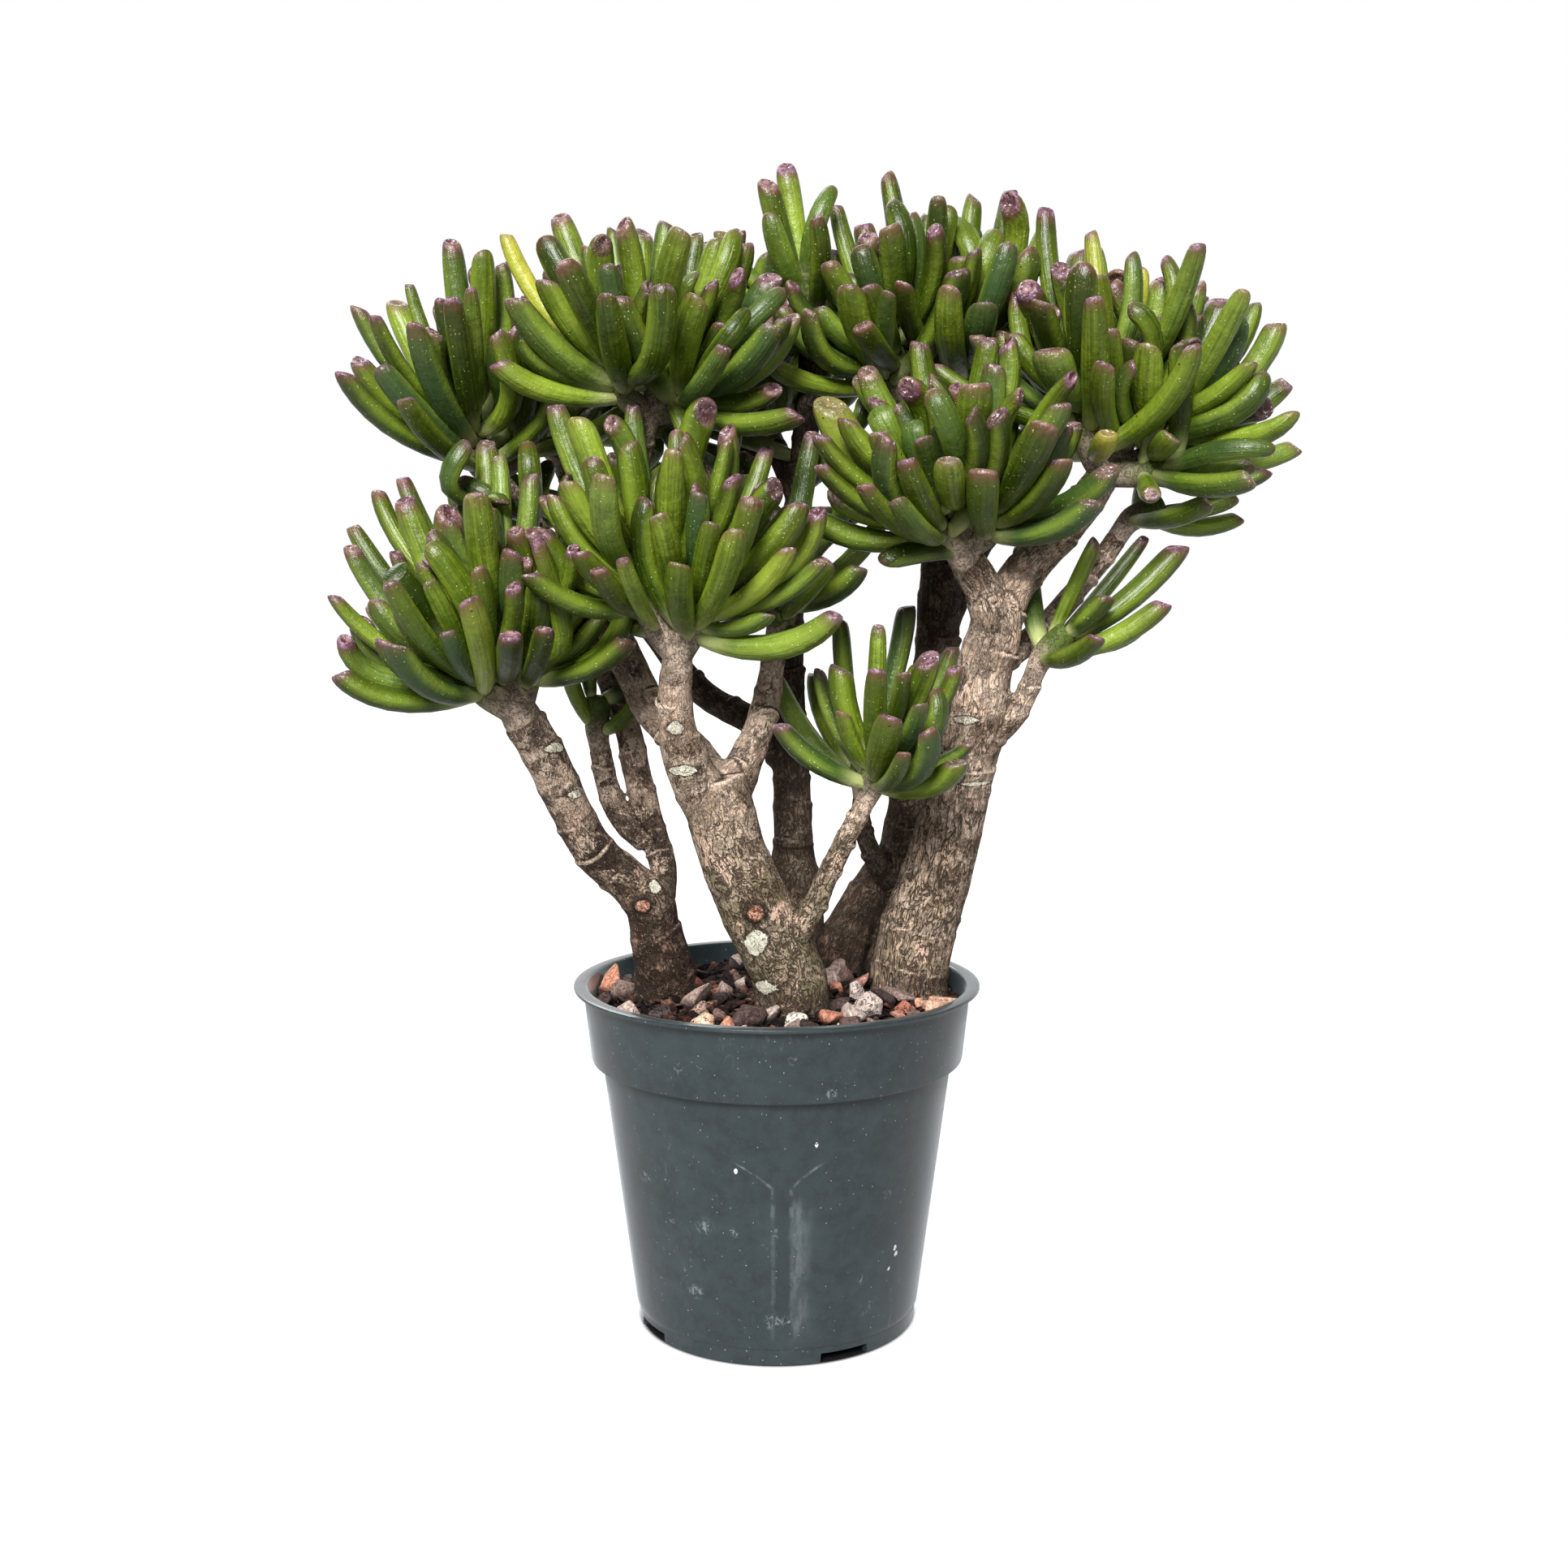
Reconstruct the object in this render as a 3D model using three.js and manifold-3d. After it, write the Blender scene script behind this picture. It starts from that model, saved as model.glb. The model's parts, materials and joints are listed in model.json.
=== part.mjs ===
// A trumpet jade (a Crassula ovata with tubular leaves) in its round plastic nursery pot.
// Millimetres, +Z up. The origin is the middle of the pot's underside, where it stands.
// Five woody plants share the pot. Each stands in a hole in the soil and ends in leafy sprays.

import * as THREE from 'three';
import { mergeVertices } from 'three/addons/utils/BufferGeometryUtils.js';
import Module from 'manifold-3d';

const wasm = await Module();
wasm.setup();

// ---- driving dimensions -------------------------------------------------------------------

const GAP = 0.3; // clearance between pieces that touch

const POT_SIDES = 32;
const POT_HEIGHT = 144;
const RIM_RADIUS = 85;
const RIM_THICK = 1.8;
const WALL = 1.6;
const COLLAR_TOP_RADIUS = 81;
const COLLAR_BOTTOM_RADIUS = 77.8;
const COLLAR_BOTTOM = 112.6;
const BODY_TOP_RADIUS = 73.4;
const BODY_BOTTOM_RADIUS = 59.6;
const FOOT_RADIUS = 58.8;
const FOOT_HEIGHT = 7;
const FOOT_WIDTH = 3;
const PAD_RADIUS = 20; // flat middle of the underside, which carries the pot with the foot ring
const FLOOR_UNDERSIDE = 4.5;
const FLOOR_TOP = 6.5;
const NOTCH_COUNT = 4;
const NOTCH_TURN = 28; // degrees from the front to the first drain notch in the foot ring
const NOTCH_WIDTH = 21;
const NOTCH_HEIGHT = 4;
const DRAIN_HOLES = 6;
const DRAIN_RADIUS = 3.5;
const DRAIN_CIRCLE = 40;

const SOIL_EDGE = 135; // height of the soil at the wall
const SOIL_MIDDLE = 141;
const SOIL_SHOULDER_RADIUS = 66;
const SOIL_FLAT_RADIUS = 30;
const CHIP_COUNT = 8;
const CHIP_SPREAD = 72; // radius that the middles of the chips stay within
const CHIP_REACH = 74; // radius that a whole chip stays within
const CHIP_LIFT = 0.4; // height of a chip's middle over the soil
const CHIP_ROOM = 7; // room from a chip to a stem
const STONE_ROUGHNESS = 0.9;
const STUB_SIDES = 8;
const STUB_RISE = 12; // how far a root stub runs up inside its trunk
const ROOT_DEPTH = 26; // how deep each plant's root stub stands in its hole
const FOOT_RISE = 5; // the upright start of a trunk on the soil
const FORK_RISE = 5; // where the shoots of a spray part, past the end of their limb

const LIMB_STEP = 22; // length of one straight stretch of a stem
const LEAF_SIDES = 4;
const LEAF_TURN = Math.PI / 4; // turns a leaf's section so that it lies flat side down
const LEAF_FLATNESS = 0.86; // thickness of a leaf over its width
const LONGEST_LEAF = 72;
const LEAF_SPREAD = 0.25; // how far a leaf swings out before it turns up
const LEAF_SAG = 0.14;
const NAMED_WEIGHT = 0.25; // how readily a leaf with a given tip is pushed aside
const GOLDEN_TURN = 2.39996;
const TIP_SLANT = 0.75; // slope of the oblique tip over the leaf's radius
const SHOOT_RADIUS = 4.6;
const SHOOT_STEP = 30;
const HEART_RADIUS = 6.6; // the thick end of a shoot, which the leaves stand out of
const SHOOT_SIDES = 4;
const ROOT_OFFSET = 2.4; // how far a leaf's root sits from the middle of its shoot
const SETTLE_ROUNDS = 140; // steps in which crowded leaves push each other aside
const CLEAR_OWN = 0.4; // room kept between leaves of one spray
const CLEAR_OTHER = 1.2; // room kept between leaves of two sprays
const CLEAR_STEM = 1.0;
const DEEPEST_CROSSING = 2.2; // a leaf placed by rule that still runs deeper into another isn't grown

const COLOURS = {
  pot: [0x3a4649, 0.35],
  soil: [0x3b2a22, 0.95],
  bark: [0x7b6a58, 0.85],
  leaf: [0x55752a, 0.45],
};

// ---- the plants ---------------------------------------------------------------------------
// A limb is a row of points [x, y, z, radius]. The first limb of a plant is its trunk.

const PLANTS = {
  stem_left: {
    stub: [-47, 2, 11],
    limbs: [
      [[-47, 2, 0, 13.4], [-48, -2, 153, 12.3], [-51, -5, 168, 10.6], [-53, -6, 178, 10.9], [-62, -9, 188, 9.3],
        [-74, -14, 200, 8.9], [-83, -18, 217, 8.5], [-93, -24, 241, 8.8], [-101, -28, 256, 8.6]],
      [[-49, 0, 177, 6.2], [-48, 12, 188, 5.8], [-54, 18, 209, 5.8], [-60, 22, 230, 6.2], [-63, 25, 245, 5.9],
        [-74, 28, 274, 5.5], [-90, 28, 312, 5.2], [-107, 25, 340, 5.2], [-115, 22, 350, 5.2]],
      [[-55, 15, 200, 5.6], [-66, 17, 210, 5.3], [-72, 18, 224, 5.1], [-75, 18, 240, 4.8]],
    ],
  },
  stem_centre: {
    stub: [6, -26, 13],
    limbs: [
      [[6, -26, 0, 15.6], [4, -26, 154, 15], [-8, -27, 179, 14.9], [-18, -28, 203, 13.9], [-23, -28, 222, 14],
        [-25, -28, 233, 11.5]],
      [[-27, -28, 222, 11], [-35, -32, 238, 9.6], [-39, -36, 253, 7.7], [-40, -38, 266, 7], [-39, -40, 277, 6.7]],
      [[-23, -20, 226, 9.6], [-35, -10, 242, 7.9], [-50, -2, 256, 7.7], [-60, 2, 274, 7.5], [-67, 5, 289, 7.4],
        [-69, 6, 313, 6.7], [-64, 5, 339, 6.4], [-57, 3, 362, 6.1], [-54, 2, 372, 5.7]],
      [[-19, -24, 226, 9.1], [-12, -16, 240, 7.2], [-7, -10, 252, 6.3], [-4, -6, 263, 6], [-2, -4, 274, 5.3],
        [-1, -3, 282, 5]],
      [[2, -30, 162, 6.4], [14, -35, 180, 5.1], [20, -38, 194, 4.5], [26, -40, 207, 4.4], [32, -42, 219, 4.2],
        [35, -42, 225, 4.1]],
    ],
  },
  stem_right: {
    stub: [56, 6, 14],
    limbs: [
      [[56, 6, 0, 16.6], [60, 8, 164, 16.2], [66, 8, 183, 15.2], [72, 5, 206, 14], [77, 2, 230, 13.2],
        [83, -2, 254, 12], [85, -4, 274, 11.7], [89, -6, 290, 11.3], [90, -8, 300, 10]],
      [[89, -8, 292, 9.3], [84, -12, 307, 8.2], [79, -16, 315, 7.5], [76, -18, 319, 7.2]],
      [[90, -6, 292, 9.6], [96, -6, 308, 9], [105, -4, 319, 8.3], [116, -2, 331, 8.3], [126, 0, 343, 7.7],
        [131, 1, 350, 7.4]],
      [[86, -4, 246, 6.6], [96, -6, 254, 5.1], [102, -8, 265, 4.7], [105, -9, 273, 4.4]],
      [[88, 2, 276, 7.2], [106, 14, 286, 5.5], [119, 20, 298, 5.2], [131, 24, 312, 4.8], [140, 26, 323, 4.8],
        [144, 26, 329, 4.8]],
    ],
  },
  stem_back: {
    stub: [4, 34, 9],
    limbs: [
      [[4, 34, 0, 11.2], [7, 33, 169, 9.8], [7, 34, 198, 8.8], [6, 38, 233, 8.1], [5, 42, 260, 7.4],
        [5, 48, 288, 6.8], [7, 52, 323, 6.4], [11, 54, 358, 6.1], [14, 54, 393, 5.7], [15, 54, 412, 5.4]],
      [[6, 38, 230, 7.4], [-10, 46, 248, 6.4], [-32, 56, 260, 6.1], [-52, 66, 283, 5.8], [-72, 72, 315, 5.5],
        [-88, 76, 344, 5.5], [-94, 78, 358, 5.5]],
      [[10, 53, 346, 6.2], [4, 60, 358, 5.4], [-1, 66, 370, 4.9]],
      [[6, 47, 280, 6.6], [-1, 60, 308, 6.1], [-8, 76, 344, 5.9], [-14, 86, 374, 5.6], [-17, 89, 386, 5.6]],
    ],
  },
  stem_back_right: {
    stub: [42, 44, 9],
    limbs: [
      [[42, 44, 0, 10.9], [51, 42, 176, 10.4], [58, 42, 210, 9.9], [65, 42, 245, 9.9], [69, 42, 274, 9.9],
        [70, 42, 298, 9.7], [71, 42, 323, 8.8], [69, 42, 350, 8.1], [67, 42, 371, 7.4], [65, 42, 384, 7.1]],
      [[71, 43, 292, 8.4], [84, 54, 319, 6.4], [103, 68, 344, 6.2], [121, 77, 364, 5.9], [129, 81, 377, 5.5]],
      [[51, 40, 176, 6.6], [45, 30, 186, 4.9], [39, 24, 198, 4.3], [36, 20, 211, 4.1], [36, 18, 220, 3.8]],
    ],
  },
};

// A spray grows from the end of one limb. Each of its shoots is [base x, y, z, crown x, y, z, leaves
// placed by rule, their length]. Its named leaves are [shoot, tip x, y, z, radius].

const SPRAYS = {
  spray_left_top: {
    from: ['stem_left', 1], seed: 11,
    shoots: [[-124, 20, 358, -134, 15, 436, 8, 64], [-109, 30, 364, -107, 38, 426, 6, 55]],
    leaves: [[0, -174, -10, 395, 5.1], [0, -169, 10, 420, 4.4], [0, -158, -12, 414, 4.3], [0, -141, -25, 411, 5.8],
      [0, -134, 20, 450, 5.2], [0, -119, 5, 441, 5.6], [0, -121, -15, 423, 3.9], [0, -134, -5, 421, 4],
      [0, -153, 30, 432, 3.5], [1, -111, 10, 405, 4.1], [1, -101, 0, 409, 4.7]],
  },
  spray_centre_left: {
    from: ['stem_centre', 2], seed: 12,
    shoots: [[-60, -4, 384, -82, -14, 446, 7, 62], [-48, 4, 388, -36, 4, 455, 7, 62],
      [-40, -2, 381, -10, -20, 430, 6, 56]],
    leaves: [[0, -102, -30, 421, 6.4], [0, -90, -20, 427, 5.5], [0, -111, 10, 454, 4.1], [0, -91, 20, 460, 5.8],
      [0, -66, -15, 434, 4.6], [1, -67, 18, 452, 4.5], [1, -44, 8, 455, 6.1], [1, -33, 20, 455, 4.1],
      [1, -23, 2, 445, 5.7], [1, -15, 16, 455, 4.4], [2, -30, -40, 420, 6], [2, -22, -28, 410, 3.9],
      [2, 0, -32, 411, 6.7], [2, -2, -5, 432, 5.7]],
  },
  spray_back_top: {
    from: ['stem_back', 0], seed: 13,
    shoots: [[14, 54, 422, -1, 55, 478, 4, 54]],
    leaves: [[0, -4, 50, 479, 5], [0, 4, 62, 486, 4.7], [0, -3, 38, 463, 5.3]],
  },
  spray_back_right: {
    from: ['stem_back_right', 0], seed: 14,
    shoots: [[53, 38, 396, 33, 40, 465, 8, 60], [67, 48, 402, 67, 62, 472, 8, 60],
      [79, 40, 396, 96, 46, 472, 8, 60], [46, 36, 392, 16, 34, 452, 6, 56]],
    leaves: [[0, 26, 60, 471, 4.7], [0, 37, 70, 468, 4.7], [0, 45, 52, 482, 5], [1, 55, 62, 468, 5.1],
      [1, 75, 66, 468, 5.1], [2, 85, 56, 472, 5], [2, 100, 62, 476, 5.1], [1, 77, 22, 440, 5.9],
      [2, 82, 2, 422, 6.7], [0, 22, 20, 439, 5.5], [0, 39, 12, 429, 5.8], [0, 16, 28, 425, 5.2],
      [2, 96, 38, 446, 4.9]],
  },
  spray_right: {
    from: ['stem_right', 2], seed: 15,
    shoots: [[128, -2, 362, 114, -2, 446, 7, 66], [136, 16, 366, 108, 28, 440, 6, 62], [142, 8, 367, 150, 10, 450, 8, 66],
      [154, 5, 362, 186, 8, 428, 8, 62], [148, -5, 354, 196, -8, 366, 5, 56]],
    leaves: [[0, 115, 40, 467, 4.6], [0, 126, 25, 454, 4.5], [0, 124, -18, 427, 9.2], [2, 127, -25, 414, 5.5],
      [2, 148, 5, 436, 4.7], [2, 161, 12, 430, 6.1], [3, 182, 20, 428, 6.2], [3, 190, 32, 419, 4.9],
      [3, 176, -5, 403, 4.7], [3, 201, 15, 400, 4.4], [4, 205, 5, 390, 4.4], [4, 214, 10, 366, 4.4],
      [4, 188, -22, 357, 5.2], [3, 143, -32, 398, 6.1], [0, 108, -28, 400, 7.4], [0, 127, -45, 368, 4.7],
      [3, 152, -32, 372, 4.8], [4, 146, -36, 345, 4.5]],
  },
  spray_right_low: {
    from: ['stem_right', 4], seed: 16,
    shoots: [[149, 26, 336, 184, 28, 352, 3, 50]],
    leaves: [[0, 192, 22, 346, 4.5]],
  },
  spray_front_right: {
    from: ['stem_right', 1], seed: 17,
    shoots: [[66, -26, 329, 38, -42, 378, 7, 56], [74, -20, 334, 62, -22, 408, 7, 62],
      [84, -20, 330, 98, -34, 386, 7, 58]],
    leaves: [[0, 21, -22, 382, 8.1], [0, 19, -40, 369, 4.8], [0, 16, -50, 356, 4.4], [0, 31, -70, 349, 4.6],
      [0, 39, -52, 367, 5.3], [0, 56, -60, 363, 4], [1, 64, -68, 356, 5.5], [2, 75, -68, 356, 5.8],
      [1, 58, -10, 406, 5.9], [0, 34, -8, 400, 5.6], [2, 85, -28, 395, 5.5], [2, 106, -62, 359, 5.2],
      [2, 110, -40, 369, 5.1], [0, 45, -30, 378, 3.9]],
  },
  spray_front: {
    from: ['stem_centre', 1], seed: 18,
    shoots: [[-46, -42, 292, -78, -46, 372, 7, 60], [-39, -38, 296, -42, -26, 378, 7, 64],
      [-33, -42, 291, -6, -50, 358, 7, 60]],
    leaves: [[0, -88, -25, 383, 5.5], [0, -76, -42, 373, 6], [0, -77, -60, 347, 4.3], [1, -57, -12, 384, 4.6],
      [1, -39, -36, 369, 4.2], [1, -21, -10, 374, 4.6], [1, -20, -32, 363, 4.2], [2, -4, -15, 365, 4.3],
      [1, -44, -78, 336, 5.1], [2, -28, -72, 343, 4.6], [2, -23, -80, 334, 4.2], [2, -8, -62, 343, 4.6],
      [2, 7, -42, 338, 4.4], [2, 9, -66, 329, 4.9], [2, -3, -60, 302, 4], [0, -71, -78, 325, 5.1],
      [0, -65, -86, 317, 4.8], [0, -56, -92, 321, 3.5]],
  },
  spray_centre_small: {
    from: ['stem_centre', 3], seed: 19,
    shoots: [[1, -4, 292, 14, 2, 342, 3, 50]],
    leaves: [[0, 33, -20, 317, 5.9], [0, 15, 12, 372, 4.8], [0, 11, -12, 290, 3.3], [0, -2, -18, 300, 3.3]],
  },
  spray_left_low: {
    from: ['stem_left', 0], seed: 20,
    shoots: [[-116, -35, 268, -152, -40, 322, 7, 60], [-109, -28, 272, -126, -16, 350, 8, 62],
      [-100, -26, 270, -84, -26, 326, 7, 55]],
    leaves: [[0, -175, -40, 308, 4.4], [0, -171, -25, 328, 4.9], [0, -174, 0, 333, 4.4], [1, -163, 0, 351, 4.4],
      [1, -158, 15, 355, 4.1], [0, -147, -24, 342, 5.2], [0, -144, -52, 318, 4.4], [0, -140, -64, 299, 4.9],
      [1, -132, 10, 357, 4.7], [1, -123, 15, 365, 4.8], [1, -113, 0, 364, 4.4], [1, -113, -28, 339, 4.8],
      [2, -99, -55, 321, 5], [0, -112, -90, 306, 5], [1, -98, -84, 293, 4.8], [2, -87, -66, 295, 4.3],
      [2, -99, -5, 336, 4.7], [2, -83, -12, 335, 4.6], [2, -69, -30, 298, 4.5], [1, -127, -40, 333, 4.4],
      [0, -122, -78, 294, 3.6], [0, -131, -62, 310, 4]],
  },
  spray_twig: {
    from: ['stem_centre', 4], seed: 21,
    shoots: [[38, -43, 232, 42, -52, 284, 6, 46]],
    leaves: [[0, 17, -35, 280, 3.8], [0, 38, -72, 279, 4.6], [0, 40, -36, 293, 3.8], [0, 49, -60, 277, 3.4],
      [0, 53, -74, 265, 3.6], [0, 70, -48, 281, 4.1], [0, 73, -56, 249, 3.7], [0, 48, -86, 250, 3.6],
      [0, 25, -58, 263, 3.7]],
  },
  spray_side_right: {
    from: ['stem_right', 3], seed: 22,
    shoots: [[108, -10, 280, 136, -14, 312, 3, 52]],
    leaves: [[0, 129, -12, 327, 3.7], [0, 132, -20, 305, 4.6], [0, 164, -2, 326, 5.8], [0, 153, 4, 330, 3.5]],
  },
  spray_left_shoot: {
    from: ['stem_left', 2], seed: 23,
    shoots: [[-76, 18, 247, -76, 18, 276, 1, 28]],
    leaves: [[0, -80, 16, 280, 3.6], [0, -57, 6, 252, 4]],
  },
  spray_back_left: {
    from: ['stem_back', 1], seed: 24,
    shoots: [[-101, 80, 369, -118, 88, 434, 11, 60], [-88, 93, 370, -80, 122, 436, 11, 60]],
    leaves: [],
  },
  spray_back_middle: {
    from: ['stem_back', 3], seed: 25,
    shoots: [[-26, 92, 396, -44, 108, 460, 11, 60], [-10, 98, 396, 4, 120, 460, 11, 60]],
    leaves: [],
  },
  spray_back_inner: {
    from: ['stem_back', 2], seed: 28,
    shoots: [[-4, 68, 378, -6, 56, 420, 7, 50]],
    leaves: [[0, 8, 40, 400, 4.8], [0, -6, 42, 398, 4.4]],
  },
  spray_back_far_right: {
    from: ['stem_back_right', 1], seed: 26,
    shoots: [[128, 88, 388, 120, 114, 454, 11, 60], [144, 86, 386, 176, 102, 440, 11, 60]],
    leaves: [],
  },
  spray_back_twig: {
    from: ['stem_back_right', 2], seed: 27,
    shoots: [[36, 17, 226, 40, 20, 286, 3, 58]],
    leaves: [[0, 27, 20, 295, 4.5], [0, 55, 26, 300, 4.8]],
  },
};

// Stones on the soil: [x, y, length, width, height, turn, colour].
const STONES = [
  [-30, -56, 16, 13, 12, 20, 0xb08468], [-13, -60, 8, 7, 6, 70, 0xc49372], [7, -55, 15, 11, 9, 10, 0x9b9089],
  [27, -56, 18, 9, 7, 12, 0xa79f97], [33, -16, 11, 10, 12, 40, 0x8f837d], [36, -33, 18, 14, 12, 155, 0x857b77],
  [52, -26, 15, 10, 8, 100, 0x93604d], [60, -38, 17, 8, 7, 48, 0xc8806a], [45, -52, 12, 8, 6, 160, 0x8a8280],
  [-46, -34, 14, 10, 8, 30, 0x4c4340], [-30, -36, 12, 9, 7, 120, 0x6b5a50], [-64, 24, 13, 9, 9, 75, 0x70604f],
];

// ---- solids -------------------------------------------------------------------------------

const X_AXIS = new THREE.Vector3(1, 0, 0);
const Z_AXIS = new THREE.Vector3(0, 0, 1);
const toSpace = new THREE.Matrix4().makeRotationX(Math.PI / 2); // a lathe's Y axis becomes +Z

function signedVolume(points, corners) {
  const a = new THREE.Vector3();
  const b = new THREE.Vector3();
  const c = new THREE.Vector3();
  let six = 0;
  for (let i = 0; i < corners.length; i += 3) {
    a.fromArray(points, corners[i] * 3);
    b.fromArray(points, corners[i + 1] * 3);
    c.fromArray(points, corners[i + 2] * 3);
    six += a.dot(b.cross(c));
  }
  return six / 6;
}

// Turns a closed geometry into a manifold solid with its faces pointing out.
function solid(geometry) {
  const plain = geometry.clone();
  plain.deleteAttribute('normal');
  plain.deleteAttribute('uv');
  const merged = mergeVertices(plain, 1e-4);
  const points = merged.attributes.position.array;
  const index = merged.index.array;
  const corners = [];
  for (let i = 0; i < index.length; i += 3) {
    const [a, b, c] = [index[i], index[i + 1], index[i + 2]];
    if (a !== b && b !== c && c !== a) corners.push(a, b, c);
  }
  if (signedVolume(points, corners) < 0) corners.reverse();
  return new wasm.Manifold(new wasm.Mesh({
    numProp: 3,
    vertProperties: Float32Array.from(points),
    triVerts: Uint32Array.from(corners),
  }));
}

function joined(solids) {
  return wasm.Manifold.union(solids);
}

function toMesh(name, shape, colour, roughness) {
  const mesh = shape.getMesh();
  const geometry = new THREE.BufferGeometry();
  geometry.setAttribute('position', new THREE.BufferAttribute(Float32Array.from(mesh.vertProperties), 3));
  geometry.setIndex(Array.from(mesh.triVerts));
  geometry.computeVertexNormals();
  const material = new THREE.MeshStandardMaterial({ color: colour, roughness, metalness: 0 });
  const node = new THREE.Mesh(geometry, material);
  node.name = name;
  return node;
}

// A solid turned from [radius, z] pairs about the Z axis.
function turned(profile, sides, start = 0) {
  const outline = profile.map(([radius, z]) => new THREE.Vector2(radius, z));
  return new THREE.LatheGeometry(outline, sides, start).applyMatrix4(toSpace);
}

function cylinder(radius, bottom, top, x, y, sides) {
  return turned([[0, bottom], [radius, bottom], [radius, top], [0, top]], sides).translate(x, y, 0);
}

function seededRandom(seed) {
  let state = seed;
  return () => {
    state = (state * 1103515245 + 12345) % 2147483648;
    return state / 2147483648;
  };
}

// ---- pot ----------------------------------------------------------------------------------

function wallOffset(radius) {
  return radius - WALL;
}

function makePot() {
  const innerStep = COLLAR_BOTTOM + WALL;
  const shell = solid(turned([
    [0, 0], [PAD_RADIUS, 0], [PAD_RADIUS + 2, FLOOR_UNDERSIDE], [FOOT_RADIUS - FOOT_WIDTH - 1, FLOOR_UNDERSIDE],
    [FOOT_RADIUS - FOOT_WIDTH, 0], [FOOT_RADIUS, 0], [FOOT_RADIUS, FOOT_HEIGHT],
    [BODY_BOTTOM_RADIUS, FOOT_HEIGHT], [BODY_TOP_RADIUS, COLLAR_BOTTOM], [COLLAR_BOTTOM_RADIUS, COLLAR_BOTTOM],
    [COLLAR_TOP_RADIUS, POT_HEIGHT - RIM_THICK], [RIM_RADIUS, POT_HEIGHT - RIM_THICK], [RIM_RADIUS, POT_HEIGHT],
    [wallOffset(COLLAR_TOP_RADIUS), POT_HEIGHT], [wallOffset(COLLAR_BOTTOM_RADIUS), innerStep],
    [wallOffset(BODY_TOP_RADIUS), innerStep], [wallOffset(BODY_BOTTOM_RADIUS), FLOOR_TOP], [0, FLOOR_TOP],
  ], POT_SIDES));
  const cuts = [];
  for (let i = 0; i < NOTCH_COUNT; i += 1) {
    const turn = THREE.MathUtils.degToRad(NOTCH_TURN + (360 / NOTCH_COUNT) * i);
    const notch = new THREE.BoxGeometry(NOTCH_WIDTH, FOOT_WIDTH * 5, NOTCH_HEIGHT * 2);
    cuts.push(solid(notch.translate(0, -FOOT_RADIUS, 0).rotateZ(turn)));
  }
  for (let i = 0; i < DRAIN_HOLES; i += 1) {
    const angle = (2 * Math.PI * i) / DRAIN_HOLES;
    const [x, y] = [DRAIN_CIRCLE * Math.cos(angle), DRAIN_CIRCLE * Math.sin(angle)];
    cuts.push(solid(cylinder(DRAIN_RADIUS, FLOOR_UNDERSIDE - 1, FLOOR_TOP + 1, x, y, 8)));
  }
  return shell.subtract(joined(cuts));
}

// ---- soil and stones ----------------------------------------------------------------------

function soilHeight(x, y) {
  const radius = Math.hypot(x, y);
  const rise = (SOIL_SHOULDER_RADIUS - radius) / (SOIL_SHOULDER_RADIUS - SOIL_FLAT_RADIUS);
  return SOIL_EDGE + (SOIL_MIDDLE - SOIL_EDGE) * Math.min(1, Math.max(0, rise));
}

function plantStubs() {
  return Object.values(PLANTS).map((plant) => plant.stub);
}

// Bark chips: rough octahedra that stand half out of the soil.
function makeChips() {
  const random = seededRandom(7);
  const chips = [];
  while (chips.length < CHIP_COUNT) {
    const angle = random() * 2 * Math.PI;
    const radius = CHIP_SPREAD * Math.sqrt(random());
    const [x, y] = [radius * Math.cos(angle), radius * Math.sin(angle)];
    const size = 3 + 2.5 * random();
    const turn = random() * Math.PI;
    const tilt = (random() - 0.5) * 0.9;
    const atStem = plantStubs().some(([sx, sy, sr]) => Math.hypot(x - sx, y - sy) < sr + size + CHIP_ROOM);
    const atStone = STONES.some(([sx, sy, length]) => Math.hypot(x - sx, y - sy) < length / 2 + size + 1);
    if (atStem || atStone || radius + size > CHIP_REACH) continue;
    const chip = new THREE.OctahedronGeometry(size, 0).scale(1.3, 0.8, 0.75);
    chips.push(solid(chip.rotateY(tilt).rotateZ(turn).translate(x, y, soilHeight(x, y) + CHIP_LIFT)));
  }
  return chips;
}

function makeSoil() {
  const innerStep = COLLAR_BOTTOM + WALL + GAP;
  const slope = (COLLAR_TOP_RADIUS - COLLAR_BOTTOM_RADIUS) / (POT_HEIGHT - COLLAR_BOTTOM);
  const edgeRadius = wallOffset(COLLAR_BOTTOM_RADIUS) - GAP + slope * (SOIL_EDGE - innerStep);
  const body = solid(turned([
    [0, FLOOR_TOP + GAP], [wallOffset(BODY_BOTTOM_RADIUS) - GAP, FLOOR_TOP + GAP],
    [wallOffset(BODY_TOP_RADIUS) - GAP, innerStep], [wallOffset(COLLAR_BOTTOM_RADIUS) - GAP, innerStep],
    [edgeRadius, SOIL_EDGE], [SOIL_SHOULDER_RADIUS, SOIL_EDGE], [SOIL_FLAT_RADIUS, SOIL_MIDDLE], [0, SOIL_MIDDLE],
  ], POT_SIDES));
  const holes = plantStubs().map(([x, y, radius]) => {
    const bottom = soilHeight(x, y) - ROOT_DEPTH - GAP;
    return solid(cylinder(radius + GAP, bottom, SOIL_MIDDLE + 10, x, y, STUB_SIDES));
  });
  return joined([body, ...makeChips()]).subtract(joined(holes));
}

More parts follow.
